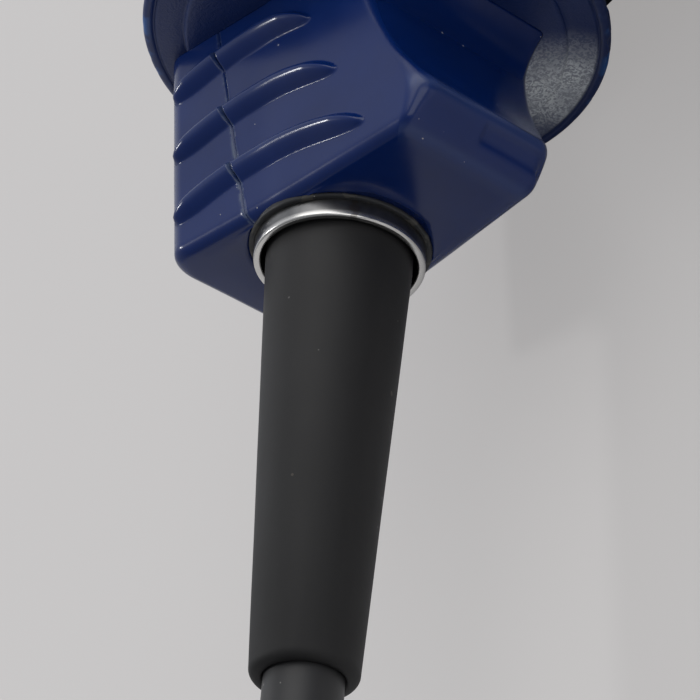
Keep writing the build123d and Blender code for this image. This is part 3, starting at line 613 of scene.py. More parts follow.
def lathe(name, profile, segments, centre_x=0.0, wobble=None):
    """A closed ring turned about the nose axis. The profile is (radius, level) points round the section."""
    profile = np.array(profile, float)
    angles = np.linspace(0, 2 * math.pi, segments, endpoint=False)
    radius, level = profile[:, 0][:, None], profile[:, 1][:, None]
    if wobble:
        radius, level = wobble(radius + 0 * angles, level + 0 * angles, angles + 0 * radius)
    across, up = centre_x + radius * np.cos(angles), radius * np.sin(angles)
    points = np.stack([across, level + 0 * angles, up], 2).reshape(-1, 3)
    count = len(profile)
    faces = []
    for i in range(count):
        k = (i + 1) % count
        for j in range(segments):
            m = (j + 1) % segments
            faces.append((i * segments + j, k * segments + j, k * segments + m, i * segments + m))
    piece = mesh_piece(name, points, faces)
    fix_outward(piece)
    return piece


def fix_outward(piece):
    """Turns the piece's faces to point out of it."""
    work = bmesh.new()
    work.from_mesh(piece.data)
    bmesh.ops.recalc_face_normals(work, faces=work.faces)
    if work.calc_volume(signed=True) < 0:
        bmesh.ops.reverse_faces(work, faces=work.faces)
    work.to_mesh(piece.data)
    work.free()


def arc_points(centre, radius, start, end, steps):
    """Points on an arc of the section, angles in degrees."""
    return [(centre[0] + radius * math.cos(math.radians(t)), centre[1] + radius * math.sin(math.radians(t)))
            for t in np.linspace(start, end, steps)]


def run(start, end, steps):
    """Points along a straight run, without its last point."""
    return [tuple(p) for p in np.linspace(start, end, steps, endpoint=False)]


rim_y = collar_rim + collar_edge
ferrule_profile = (
    run((collar_radius, collar_bottom), (collar_radius, rim_y), 14)
    + arc_points((collar_radius - collar_edge, rim_y), collar_edge, 0, -90, 7)
    + arc_points((collar_radius - collar_wall + collar_edge, rim_y), collar_edge, -90, -180, 7)
    + run((collar_radius - collar_wall, rim_y + 0.1), (collar_radius - collar_wall, collar_bottom), 10)
    + [(collar_radius - collar_wall, collar_bottom)]
)


def turned_wobble(radius, level, angle):
    """Hand polished steel is never quite true: shallow flats and dents catch the light."""
    return radius + 0.05 * noise_over(np.cos(angle) * 2.1, np.sin(angle) * 2.1, level * 0.25), level


def level_of(tree, place):
    """How far along the nose the place is, in metres."""
    return add(tree, "ShaderNodeSeparateXYZ", in_Vector=place).outputs[1]


def darker_behind_rim(tree, place, base, rough, height):
    """Darker behind the rim, in clouds, with crusts of grime."""
    behind = between(tree, level_of(tree, place), (collar_rim + 0.35) * MM, (collar_rim + 0.9) * MM)
    cloud = clouds(tree, place, 260.0, 4.0)
    dull = maths(tree, "MULTIPLY", behind, grown(tree, cloud, 0.55, 1.15), clamp=True)
    base = blend_colour(tree, dull, base, (0.075, 0.078, 0.085))
    grime = maths(tree, "GREATER_THAN", cloud, 0.66)
    base = blend_colour(tree, maths(tree, "MULTIPLY", grime, 0.5), base, (0.12, 0.10, 0.08))
    rough = maths(tree, "ADD", rough, maths(tree, "MULTIPLY", dull, 0.12), clamp=True)
    return base, rough, height


steel_finish = plain_finish("collar_steel", (0.70, 0.69, 0.67), 0.22, metallic=1.0, grain=900.0, specks=0.3,
                            speck_size=1500.0, scratches=0.7, dust=(0.25, 0.23, 0.2), extra=darker_behind_rim)
ferrule = lathe("collar_ring", ferrule_profile, 160, wobble=turned_wobble)
ferrule.data.materials.append(steel_finish)
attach(ferrule, "controller")
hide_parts("collar_ferrule")

gasket_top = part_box("collar_gasket")[0].y / MM
gasket_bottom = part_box("collar_gasket")[1].y / MM
gasket_profile = (
    run((gasket_seat, gasket_bottom), (gasket_seat, gasket_top + 0.3), 6)
    + arc_points((gasket_seat - 0.3, gasket_top + 0.3), 0.3, 0, -90, 6)
    + run((gasket_seat - 0.35, gasket_top), (collar_radius, gasket_top), 3)
    + run((collar_radius, gasket_top), (collar_radius, gasket_bottom), 6)
    + [(collar_radius, gasket_bottom)]
)


def squeezed_wobble(radius, level, angle):
    """The rubber bulges unevenly where the steel ring squeezes it."""
    lumps = noise_over(np.cos(angle) * 7, np.sin(angle) * 7, level)
    outside = np.clip((radius - collar_radius) / (gasket_seat - collar_radius), 0, 1)
    return radius + 0.16 * np.minimum(lumps, 0) * outside, level + 0.10 * lumps * outside


def grimy(tree, place, base, rough, height):
    """Grey lumps of grime, rougher than the rubber between them."""
    cloud = clouds(tree, place, 420.0, 5.0)
    lump = maths(tree, "GREATER_THAN", cloud, 0.58)
    base = blend_colour(tree, maths(tree, "MULTIPLY", lump, 0.6), base, (0.075, 0.07, 0.06))
    return base, grown(tree, cloud, 0.35, 0.8), cloud


gasket_rubber = plain_finish("gasket_rubber", (0.016, 0.017, 0.019), 0.5, grain_depth=0.12, specks=0.8,
                             scratches=0.2, extra=grimy)
gasket = lathe("collar_cushion", gasket_profile, 180, wobble=squeezed_wobble)
gasket.data.materials.append(gasket_rubber)
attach(gasket, "controller")
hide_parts("collar_gasket")


# ---------------------------------------------------------------- nosepiece
# A tapered sleeve moulded in matt charcoal rubber-like plastic, which screws onto the nose stem.
# It is dusty and faintly rubbed where fingers turn it, and painted shade darkens it toward its tip.
nose_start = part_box("nosepiece")[0].y / MM
nose_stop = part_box("nosepiece")[1].y / MM
tip_radius, root_radius, tip_rounding = 6.5, 9.4, 1.2
tip_hole, nose_bore, filter_bore, thread_bore = 4.85, 5.5, 7.0, 7.6
tip_wall, bore_length = 3.0, 33.0
nose_profile = (
    [(tip_hole, nose_start + tip_wall), (tip_hole, nose_start + 0.3), (tip_hole + 0.25, nose_start)]
    + arc_points((tip_radius - tip_rounding + 0.05, nose_start + tip_rounding), tip_rounding, -88, 0, 9)
    + run((tip_radius + 0.06, nose_start + tip_rounding + 0.4), (root_radius, collar_rim), 60)
    + run((root_radius, collar_rim), (root_radius, nose_stop), 12)
    + [(root_radius, nose_stop), (thread_bore, nose_stop)]
    + [(thread_bore, block_face), (filter_bore, block_face)]
    + [(filter_bore, nose_start + tip_wall + bore_length), (nose_bore, nose_start + tip_wall + bore_length)]
    + [(nose_bore, nose_start + tip_wall)]
)


def moulded_wobble(radius, level, angle):
    """The moulded wall sinks a little between its thicker places."""
    outside = (radius > root_radius - 3.4) & (level < collar_rim - 1) & (radius > nose_bore + 0.4)
    return radius + 0.05 * noise_over(np.cos(angle) * 0.8, level / 14.0, np.sin(angle) * 0.8) * outside, level


def sleeve_streaks_and_shade(tree, place, base, rough, height):
    """Long soft streaks, painted shade that darkens the sleeve toward its tip, and larger crumbs of dust."""
    # Painted shade: the sleeve's colour darkens toward the tip, where less light falls
    painted_shade_fade = between(tree, level_of(tree, place), 0.012, 0.062)
    base = blend_colour(tree, painted_shade_fade, (0.006, 0.006, 0.0065), base)
    rough = maths(tree, "ADD", rough, grown(tree, painted_shade_fade, 0.1, 0.0), clamp=True)
    stretch = add(tree, "ShaderNodeMapping", in_Vector=place, in_Scale=(1.0, 0.12, 1.0))
    streak = clouds(tree, stretch.outputs[0], 420.0, 3.0)
    base = blend_colour(tree, grown(tree, streak, 0.0, 0.6), base, (0.018, 0.0175, 0.0175))
    crumbs = use_group(tree, handling_marks, Vector=place, Speck_size=300.0, Speck_amount=0.9,
                       Scratch_amount=0.0)
    crumbs = maths(tree, "MULTIPLY", crumbs.outputs["Specks"], 0.7)
    return blend_colour(tree, crumbs, base, (0.085, 0.072, 0.06)), rough, height


nose_rubber = plain_finish("nose_rubber", (0.0125, 0.0122, 0.0128), 0.55, specular=0.36, shade=0.85,
                           grain=3200.0, grain_depth=0.03, specks=0.8, speck_size=520.0, scratches=0.3,
                           dust=(0.13, 0.125, 0.12), extra=sleeve_streaks_and_shade)
sleeve = lathe("nose_sleeve", nose_profile, 160, wobble=moulded_wobble)
sleeve.data.materials.append(nose_rubber)
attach(sleeve, "nosepiece_sleeve")
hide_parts("nosepiece")


# ---------------------------------------------------------------- pipette adapter, filter and seal
# A soft black silicone tube with a thin lip that grips the pipette's mouth end.
# The white disc filter and its seal stand above it, inside the nosepiece.
lip_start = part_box("pipette_adapter")[0].y / MM
adapter_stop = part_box("pipette_adapter")[1].y / MM
lip_radius, socket_radius, socket_depth, air_radius = 4.8, 3.5, 12.0, 2.2
adapter_radius, adapter_flange_radius, adapter_flange = 5.4, 6.8, 2.2
shoulder = nose_start + tip_wall + 0.3
adapter_profile = (
    [(socket_radius, socket_depth), (socket_radius, lip_start + 0.5)]
    + arc_points((socket_radius + 0.5, lip_start + 0.5), 0.5, 180, 270, 6)
    + arc_points((lip_radius - 0.45, lip_start + 0.45), 0.45, -90, 0, 6)
    + run((lip_radius, lip_start + 0.8), (lip_radius, shoulder), 10)
    + [(lip_radius, shoulder), (adapter_radius, shoulder)]
    + run((adapter_radius, shoulder + 0.5), (adapter_radius, adapter_stop - adapter_flange), 12)
    + [(adapter_radius, adapter_stop - adapter_flange)]
    + [(adapter_flange_radius, adapter_stop - adapter_flange), (adapter_flange_radius, adapter_stop)]
    + [(air_radius, adapter_stop), (air_radius, socket_depth)]
)
adapter_silicone = plain_finish("adapter_silicone", (0.013, 0.013, 0.014), 0.45, grain=1800.0, specks=0.9,
                                speck_size=600.0, scratches=0.1, dust=(0.2, 0.19, 0.18))
adapter = lathe("socket_tube", adapter_profile, 96)
adapter.data.materials.append(adapter_silicone)
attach(adapter, "adapter_set")
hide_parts("pipette_adapter")


def dress(finish, *nodes):
    """The node keeps its shape and takes the finish."""
    for node in nodes:
        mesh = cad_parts[node].data
        mesh.materials.clear()
        mesh.materials.append(finish)


filter_white = plain_finish("filter_white", (0.80, 0.81, 0.80), 0.75, grain=1500.0, grain_depth=0.05,
                            shade=0.95)
dress(adapter_silicone, "filter_seal")
dress(filter_white, "membrane_filter")


# ---------------------------------------------------------------- guard flange
# A round plate moulded with the same blue plastic, with a fine leathery grain on its face, a raised
# rim band and a step round the nose block. Its edge is chipped and scuffed from bench tops.
flange_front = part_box("guard_flange")[0].y / MM
flange_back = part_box("guard_flange")[1].y / MM
flange_x = (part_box("guard_flange")[0].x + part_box("guard_flange")[1].x) / 2 / MM
flange_radius = (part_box("guard_flange")[1].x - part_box("guard_flange")[0].x) / 2 / MM
flange_step_radius, flange_step, flange_hole = 25.5, 0.8, 4.3
rim_band, rim_round = 1.5, 0.75
face_y = flange_front + flange_step
flange_profile = (
    run((flange_hole, flange_back), (flange_hole, flange_front), 3)
    + run((flange_hole, flange_front), (flange_step_radius - 0.5, flange_front), 16)
    + arc_points((flange_step_radius - 0.5, flange_front + 0.5), 0.5, -90, 0, 6)
    + arc_points((flange_step_radius + 0.3, face_y - 0.3), 0.3, 180, 90, 5)
    + run((flange_step_radius + 0.4, face_y), (flange_radius - rim_band - 0.25, face_y), 14)
    + arc_points((flange_radius - rim_band, face_y + 0.02), 0.22, 180, 0, 7)
    + arc_points((flange_radius - rim_round, face_y + rim_round), rim_round, -90, 0, 9)
    + run((flange_radius, face_y + rim_round + 0.1), (flange_radius, flange_back - rim_round), 4)
    + arc_points((flange_radius - rim_round, flange_back - rim_round), rim_round, 0, 90, 8)
    + run((flange_radius - rim_round - 0.4, flange_back), (flange_hole, flange_back), 12)
)


def chipped_wobble(radius, level, angle):
    """Nicks and flats knocked into the rim, deepest on the side toward the handle."""
    x, z = np.cos(angle), np.sin(angle)
    at_rim = np.clip((radius - (flange_radius - 1.2)) / 1.2, 0, 1)
    chips = noise_over(x * 13, z * 13, level * 1.1) + 0.6 * noise_over(x * 34, z * 34, level * 2.3)
    rough_side = 0.12 + 0.88 * np.clip(np.cos(angle + 0.35), 0, 1)**1.5
    bite = np.clip(chips - 0.12, 0, 1) * 0.95 * rough_side * at_rim
    wave = 0.08 * noise_over(x * 2.2, z * 2.2, radius / 9) * (radius > flange_step_radius + 1)
    return radius - bite, np.clip(level + wave, flange_front, flange_back)


# A painted pale highlight on the flange's face, fading out from this middle, stands in for light that no lamp
# gives there
sheen_middle, sheen_edge, sheen_core = (0.0140, face_y * MM, -0.0242), 0.0135, 0.0015


def grain_wear_and_sheen(tree, place, base, rough, height):
    """A leather-like grain, a painted pale highlight on the face, and a scuffed rim of brighter blue."""
    middle = (flange_x * MM, 0, 0)
    away = add(tree, "ShaderNodeVectorMath", operation="SUBTRACT", in_0=place, in_1=middle).outputs[0]
    flat = add(tree, "ShaderNodeVectorMath", operation="MULTIPLY", in_0=away, in_1=(1, 0, 1)).outputs[0]
    out = add(tree, "ShaderNodeVectorMath", operation="LENGTH", in_0=flat).outputs["Value"]
    at_rim = between(tree, out, (flange_radius - 1.3) * MM, (flange_radius - 0.3) * MM)
    on_face = between(tree, out, (flange_radius - 1.4) * MM, (flange_radius - 1.9) * MM)
    cloud = clouds(tree, place, 330.0, 4.0)
    worn = maths(tree, "MULTIPLY", at_rim, between(tree, cloud, 0.5, 0.62), clamp=True)
    base = blend_colour(tree, maths(tree, "MULTIPLY", worn, 0.7), base, (0.02, 0.13, 0.42))
    crease = between(tree, clouds(tree, place, 1500.0, 2.0, in_Distortion=1.6), 0.42, 0.58)
    aside = add(tree, "ShaderNodeVectorMath", operation="DISTANCE", in_0=place, in_1=sheen_middle)
    painted_sheen = between(tree, aside.outputs["Value"], sheen_edge, sheen_core, interpolation_type="SMOOTHSTEP")
    mottle = grown(tree, maths(tree, "MULTIPLY", crease, cloud), 0.45, 1.5)
    in_front = maths(tree, "LESS_THAN", level_of(tree, place), (face_y + 0.35) * MM)
    allowed = maths(tree, "MULTIPLY", on_face, in_front)
    painted_sheen = maths(tree, "MULTIPLY", maths(tree, "MULTIPLY", painted_sheen, mottle), allowed, clamp=True)
    # Painted highlight on the face
    base = blend_colour(tree, painted_sheen, base, (0.90, 0.94, 0.95))
    rough = maths(tree, "ADD", rough, maths(tree, "MULTIPLY", painted_sheen, 0.2), clamp=True)
    return base, rough, maths(tree, "MULTIPLY", crease, on_face)


flange_blue = plain_finish("blue_flange", (0.0075, 0.024, 0.115), 0.40, grain_depth=0.055, specks=0.5,
                           speck_size=620.0, scratches=0.5, extra=grain_wear_and_sheen)
flange = lathe("guard_disc", flange_profile, 540, centre_x=flange_x, wobble=chipped_wobble)
flange.data.materials.append(flange_blue)
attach(flange, "controller")
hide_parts("guard_flange")


# ---------------------------------------------------------------- head and handle housing
# Two moulded halves of blue plastic meet along the middle and are screwed together from the flat side.
# They carry the motor head, the neck to the nose and the sloped handle.
def softened(name, node, voxel, passes, relief=None):
    """The node's own shape with its edges drawn soft, as a mould leaves them. Sizes in millimetres."""
    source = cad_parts[node]
    mesh = source.data.copy()
    mesh.materials.clear()
    work = bmesh.new()
    work.from_mesh(mesh)
    bmesh.ops.remove_doubles(work, verts=work.verts, dist=0.002 * MM)
    work.to_mesh(mesh)
    work.free()
    rough_piece = bpy.data.objects.new(name + "_blank", mesh)
    scene.collection.objects.link(rough_piece)
    remesh = rough_piece.modifiers.new("remesh", "REMESH")
    remesh.mode = "VOXEL"
    remesh.voxel_size = voxel * MM
    remesh.use_smooth_shade = True
    smooth = rough_piece.modifiers.new("smooth", "SMOOTH")
    smooth.factor, smooth.iterations = 0.5, passes
    bpy.context.view_layer.update()
    shaped = rough_piece.evaluated_get(bpy.context.evaluated_depsgraph_get())
    finished = bpy.data.meshes.new_from_object(shaped)
    finished.name = name
    bpy.data.objects.remove(rough_piece)
    piece = bpy.data.objects.new(name, finished)
    scene.collection.objects.link(piece)
    finished.polygons.foreach_set("use_smooth", [True] * len(finished.polygons))
    if relief:
        points = np.zeros(len(finished.vertices) * 3)
        finished.vertices.foreach_get("co", points)
        normals = np.zeros_like(points)
        finished.vertices.foreach_get("normal", normals)
        points, normals = points.reshape(-1, 3) / MM, normals.reshape(-1, 3)
        points = relief(points, normals)
        finished.vertices.foreach_set("co", (points * MM).ravel())
        finished.update()
    return piece


def settle(piece, body, slot, finish, *nodes):
    """The piece takes its finish, rides on its body and stands for the nodes."""
    piece.data.materials.clear()
    piece.data.materials.append(finish)
    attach(piece, body)
    if nodes:
        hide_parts(*nodes)
    return piece


head_x = (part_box("speed_dial")[0].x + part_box("speed_dial")[1].x) / 2 / MM
head_y = (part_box("speed_dial")[0].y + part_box("speed_dial")[1].y) / 2 / MM
handle_slope = math.radians(25.8)
along_handle = np.array([math.cos(handle_slope), -math.sin(handle_slope), 0])
out_of_back = np.array([math.sin(handle_slope), math.cos(handle_slope), 0])


def in_handle(points):
    """Points as distance along the handle, out of its back, and across it."""
    from_head = points - np.array([head_x, head_y, 0])
    return from_head @ along_handle, from_head @ out_of_back, from_head[:, 2]


def housing_blue(tree, place, base, rough, height):
    """A satin skin that hands have rubbed glossier in broad patches."""
    cloud = clouds(tree, place, 28.0, 3.0)
    rough = maths(tree, "SUBTRACT", rough, grown(tree, cloud, 0.0, 0.12), clamp=True)
    return base, rough, height


blue_housing = plain_finish("blue_housing", block_blue, 0.36, grain=1500.0, grain_depth=0.035, grain_mix=0.3,
                            specks=0.35, speck_size=620.0, scratches=0.5, extra=housing_blue)
for name, node in (("housing_ribbed_side", "housing_left"), ("housing_flat_side", "housing_right")):
    settle(softened(name, node, 0.75, 4), "controller", "blue_housing", blue_housing, node)

# ---------------------------------------------------------------- screws
# Plated steel screws hold the nose shells and the housing halves. Each head is domed with a cross slot.
screw_steel = plain_finish("screw_steel", (0.52, 0.52, 0.53), 0.3, metallic=1.0, grain=1800.0,
                           dust=(0.2, 0.18, 0.15))
screw_head, screw_head_height, screw_shank = 2.25, 1.55, 1.15


def screw_pattern(length):
    """One screw standing on its head's seat, head up. The cross slot is pressed in."""
    crown = ((s, 1 - 0.1 * s) for s in (0.66, 0.54, 0.42, 0.3, 0.18))
    dome = ((1, 0), (1, 0.5), (0.93, 0.74), (0.8, 0.88), *crown)
    turned = [(screw_shank * 0.5, -length), (screw_shank, -length + 0.6), (screw_shank, 0)]
    turned += [(screw_head * out, screw_head_height * up) for out, up in dome]
    segments, points = 48, []
    for radius, level in turned:
        for k in range(segments):
            t = 2 * math.pi * k / segments
            x, y = radius * math.cos(t), radius * math.sin(t)
            in_arm = min(abs(x), abs(y)) < screw_head * 0.13 and max(abs(x), abs(y)) < screw_head * 0.68
            sunk = screw_head_height * 0.55 if level > screw_head_height * 0.8 and in_arm else 0
            points.append((x, y, level - sunk))
    faces = grid_faces(len(turned), segments, close=True)
    points += [(0, 0, -length), (0, 0, screw_head_height * 0.4)]
    top = (len(turned) - 1) * segments
    for k in range(segments):
        m = (k + 1) % segments
        faces.append((k, len(points) - 2, m))
        faces.append((top + k, top + m, len(points) - 1))
    return points, faces


def socket_named(tree, name):
    """The identifier of the tree's input with that name."""
    return next(i.identifier for i in tree.interface.items_tree if i.name == name and i.in_out == "INPUT")


def shape_tree(name, inputs):
    """A geometry tree with its own mesh, the named inputs and a finish coming in, and their sockets."""
    tree = bpy.data.node_groups.new(name, "GeometryNodeTree")
    for label, kind in (("Geometry", "Geometry"), *inputs, ("Finish", "Material")):
        tree.interface.new_socket(label, in_out="INPUT", socket_type="NodeSocket" + kind)
    tree.interface.new_socket("Geometry", in_out="OUTPUT", socket_type="NodeSocketGeometry")
    return tree, tree.nodes.new("NodeGroupInput").outputs


def finish_tree(tree, ins, made):
    """Ends the tree with the made geometry as one real mesh in its finish."""
    real = add(tree, "GeometryNodeRealizeInstances", in_0=made)
    finish = add(tree, "GeometryNodeSetMaterial", in_Geometry=real.outputs[0], in_Material=ins["Finish"])
    tree.links.new(finish.outputs[0], tree.nodes.new("NodeGroupOutput").inputs[0])
    return tree


def repeat_tree(name, places):
    """A tree that stands its own mesh at each place and turns it. Places are in metres, turns in radians."""
    tree, ins = shape_tree(name, (("Size", "Float"),))
    size = add(tree, "ShaderNodeCombineXYZ", in_0=ins["Size"], in_1=ins["Size"], in_2=ins["Size"])
    joined = add(tree, "GeometryNodeJoinGeometry")
    for place, turned in places:
        moved = add(tree, "GeometryNodeTransform", in_Geometry=ins["Geometry"], in_Translation=place,
                    in_Rotation=turned, in_Scale=size.outputs[0])
        tree.links.new(moved.outputs[0], joined.inputs[0])
    return finish_tree(tree, ins, joined.outputs[0])


def grown_piece(name, blank, tree, **inputs):
    """The blank after the tree has worked on it, as a plain mesh."""
    work = blank.modifiers.new("grow", "NODES")
    work.node_group = tree
    for label, value in inputs.items():
        work[socket_named(tree, label.replace("_", " "))] = value
    bpy.context.view_layer.update()
    made = blank.evaluated_get(bpy.context.evaluated_depsgraph_get())
    mesh = bpy.data.meshes.new_from_object(made)
    mesh.name = name
    bpy.data.objects.remove(blank)
    piece = bpy.data.objects.new(name, mesh)
    scene.collection.objects.link(piece)
    fix_outward(piece)
    return piece


def loose_boxes(node):
    """The lowest and highest corner of each of the node's loose solids."""
    work = bmesh.new()
    work.from_mesh(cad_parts[node].data)
    bmesh.ops.remove_doubles(work, verts=work.verts, dist=0.002 * MM)
    work.verts.ensure_lookup_table()
    seen, boxes = set(), []
    for start in work.verts:
        stack, reached = [start], []
        while stack:
            vert = stack.pop()
            if vert.index not in seen:
                seen.add(vert.index)
                reached.append(tuple(vert.co))
                stack.extend(edge.other_vert(vert) for edge in vert.link_edges)
        if reached:
            boxes.append((Vector(np.min(reached, 0)), Vector(np.max(reached, 0))))
    work.free()
    return boxes


def screws_at(name, places, length):
    """Screws of one length with their seats at the places, as one piece."""
    blank = mesh_piece(name + "_blank", *screw_pattern(length - screw_head_height - 0.1))
    return grown_piece(name, blank, repeat_tree(name + "_places", places), Size=1.0, Finish=screw_steel)


places = []
for k, (low, high) in enumerate(loose_boxes("nose_screws")):
    seat = (low.x + screw_head_height * MM, (low.y + high.y) / 2, (low.z + high.z) / 2)
    places.append((seat, (0, -math.pi / 2, 0.3 * k)))
screw_box = loose_boxes("nose_screws")[0]
screws = screws_at("nose_cross_screws", places, (screw_box[1].x - screw_box[0].x) / MM)
settle(screws, "controller", "screw_steel", screw_steel, "nose_screws")
for k, (low, high) in enumerate(loose_boxes("housing_screws")):
    seat = ((low.x + high.x) / 2, (low.y + high.y) / 2, low.z + screw_head_height * MM)
    turned = (math.pi, 0, 0.5 * k)
    screw = screws_at("housing_cross_screw_%d" % (k + 1), [(seat, turned)], (high.z - low.z) / MM)
    settle(screw, "controller", "screw_steel", screw_steel, *(["housing_screws"] if k == 0 else []))


# ---------------------------------------------------------------- vent cap
# A black rubber-like cap closes the motor side. Five slots let the pump breathe.
dark_rubber = plain_finish("dark_rubber", (0.020, 0.021, 0.023), 0.6, grain=2200.0, grain_depth=0.05,
                           specks=0.5, speck_size=700.0, scratches=0.3, dust=(0.2, 0.19, 0.17))
settle(softened("vent_disc", "vent_cap", 0.33, 3), "controller", "dark_rubber", dark_rubber, "vent_cap")


# ---------------------------------------------------------------- speed dial
# A moulded black knob on the head sets the pump's speed. Fine knurls run round its edge,
# and a white line on its dished top shows where it stands.
dark_plastic = plain_finish("dark_plastic", (0.024, 0.025, 0.027), 0.45, grain=2000.0, grain_depth=0.04,
                            specks=0.4, speck_size=700.0, dust=(0.2, 0.19, 0.18))
dial_low, dial_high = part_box("speed_dial")[0] / MM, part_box("speed_dial")[1] / MM
dial_radius = (dial_high.x - dial_low.x) / 2
knurl_count, knurl_depth = 48, 0.55


def dial_points():
    """Rings of the dial from its foot up over its edge to the dished top, and the index notch."""
    foot, top, body = 24.4, dial_high.z, dial_radius - knurl_depth
    outline = [(body - 0.6, foot), (body - 0.1, foot + 0.3)]
    outline += [(body, z) for z in np.linspace(foot + 0.7, top - 1.7, 5)]
    turns = np.linspace(0.15, math.pi / 2, 8)
    outline += [(body - 1.4 + 1.4 * math.cos(t), top - 1.4 + 1.4 * math.sin(t)) for t in turns]
    dish = np.linspace(body - 1.7, 0.5, 40)
    outline += [(r, top - 0.9 * (1 - (r / (body - 1.6))**2) - 0.02) for r in dish]
    segments, points = 240, []
    for radius, level in outline:
        for k in range(segments):
            t = 2 * math.pi * k / segments
            in_line = abs(math.sin(t)) * radius < 0.6 and math.cos(t) > 0
            in_notch = in_line and 5.5 < radius < dial_radius - 2.2
            x, y = head_x + radius * math.cos(t), head_y + radius * math.sin(t)
            points.append((x, y, level - (0.25 if in_notch else 0)))
    faces = grid_faces(len(outline), segments, close=True)
    points += [(head_x, head_y, outline[-1][1]), (head_x, head_y, foot)]
    last = (len(outline) - 1) * segments
    for k in range(segments):
        m = (k + 1) % segments
        faces.append((last + k, last + m, len(points) - 2))
        faces.append((m, k, len(points) - 1))
    return points, faces


def knurl_bar():
    """One knurl: a bar with a round back, standing outside the dial's edge and closed at both ends."""
    foot, top, body = 24.7, dial_high.z - 0.9, dial_radius - knurl_depth
    back = ((0.55, -0.5), (0.9, -0.25), (1.0, 0), (0.9, 0.25), (0.55, 0.5))
    section = [(-0.5, -0.62), *((knurl_depth * out, side) for out, side in back), (-0.5, 0.62)]
    points = [(body + out, side, level) for level in (foot, top - 0.7) for out, side in section]
    points += [(body - 0.55 + (out + 0.5) * 0.55, side * 0.8, top) for out, side in section]
    n = len(section)
    faces = grid_faces(3, n, close=True) + [tuple(range(n - 1, -1, -1)), tuple(range(2 * n, 3 * n))]
    return points, faces


def joined_to_body(tree, ins, stood):
    """The repeated meshes and the tree's body as one geometry."""
    body = add(tree, "GeometryNodeObjectInfo", in_Object=ins["Body"])
    joined = add(tree, "GeometryNodeJoinGeometry")
    tree.links.new(stood.outputs[0], joined.inputs[0])
    tree.links.new(body.outputs["Geometry"], joined.inputs[0])
    return joined.outputs[0]


def turned_row_tree(name):
    """A tree that repeats its own mesh round a centre and joins it to a body."""
    tree, ins = shape_tree(name, (("Count", "Int"), ("Centre", "Vector"), ("Body", "Object")))
    spots = add(tree, "GeometryNodePoints", in_Count=ins["Count"], in_Position=ins["Centre"])
    index = add(tree, "GeometryNodeInputIndex")
    share = add(tree, "ShaderNodeMath", operation="DIVIDE", in_0=index.outputs[0], in_1=ins["Count"])
    angle = add(tree, "ShaderNodeMath", operation="MULTIPLY", in_0=share.outputs[0], in_1=2 * math.pi)
    turned = add(tree, "ShaderNodeCombineXYZ", in_2=angle.outputs[0])
    stood = add(tree, "GeometryNodeInstanceOnPoints", in_Points=spots.outputs[0], in_Instance=ins["Geometry"],
                in_Rotation=turned.outputs[0])
    return finish_tree(tree, ins, joined_to_body(tree, ins, stood))


def dial_marks(tree, place, base, rough, height):
    """The paint line on the dial's top."""
    middle = (head_x * MM, head_y * MM, 0)
    from_middle = add(tree, "ShaderNodeVectorMath", operation="SUBTRACT", in_0=place, in_1=middle).outputs[0]
    split = add(tree, "ShaderNodeSeparateXYZ", in_Vector=from_middle)
    across = maths(tree, "LESS_THAN", maths(tree, "ABSOLUTE", split.outputs[1]), 0.00048)
    outer = maths(tree, "GREATER_THAN", split.outputs[0], 0.0056)
    inner = maths(tree, "LESS_THAN", split.outputs[0], 0.0126)
    high = maths(tree, "GREATER_THAN", split.outputs[2], (dial_high.z - 1.6) * MM)
    along = maths(tree, "MULTIPLY", inner, outer)
    mark = maths(tree, "MULTIPLY", maths(tree, "MULTIPLY", across, along), high)
    return blend_colour(tree, mark, base, (0.75, 0.76, 0.75)), rough, height


dial_finish = plain_finish("dial_plastic", (0.024, 0.025, 0.027), 0.42, grain=2000.0, grain_depth=0.04,
                           specks=0.4, speck_size=700.0, dust=(0.2, 0.19, 0.18), extra=dial_marks)
knob_body = mesh_piece("speed_knob_body", *dial_points())
fix_outward(knob_body)
dial = grown_piece("speed_knob", mesh_piece("knurl_bar", *knurl_bar()), turned_row_tree("knurl_row"),
                   Count=knurl_count, Centre=(head_x * MM, head_y * MM, 0), Body=knob_body,
                   Finish=dial_finish)
bpy.data.objects.remove(knob_body)
settle(dial, "dial", "dark_plastic", dial_finish, "speed_dial")
dress(dark_plastic, "speed_pot")


# ---------------------------------------------------------------- trigger buttons
# Two light grey moulded buttons slide into the handle's front.
# The upper one draws liquid up and the lower one lets it out.
grey_button = plain_finish("grey_button", (0.42, 0.44, 0.47), 0.38, grain=1500.0, grain_depth=0.03,
                           shade=0.93, specks=0.5, speck_size=700.0, scratches=0.5, dust=(0.16, 0.15, 0.14))


def finger_dish(points, normals):
    """A shallow dish for the finger tip, and three low bars across it."""
    along, out, across = in_handle(points)
    face = out.min()
    near_face = along[out < face + 0.5]
    from_middle = along - (near_face.min() + near_face.max()) / 2
    on_face = np.clip((face + 1.2 - out) / 1.2, 0, 1)
    dish = 0.85 * np.clip(1 - (from_middle / 8.0)**2, 0, 1) * np.clip(1 - (across / 9.5)**2, 0, 1)
    to_bar = np.abs(from_middle / 2.2 - np.round(from_middle / 2.2))
    bars = 0.35 * np.exp(-(to_bar / 0.2)**2)
    bars *= (np.abs(from_middle) < 3.2) * np.clip((7.0 - np.abs(across)) / 1.0, 0, 1)
    return points + (on_face * (dish - bars))[:, None] * out_of_back


for name, node, body in (("draw_button", "aspirate_button", "aspirate_trigger"),
                         ("empty_button", "dispense_button", "dispense_trigger")):
    settle(softened(name, node, 0.3, 3, finger_dish), body, "grey_button", grey_button, node)


# ---------------------------------------------------------------- battery door
# A blue plastic cover slides along the handle's back over the two cells.
# Low bars give the thumb a grip.
door_start, door_back = 52.0, 18.0
bar_count, bar_pitch, bar_length, bar_height, bar_half = 6, 2.2, 15.0, 0.45, 0.55


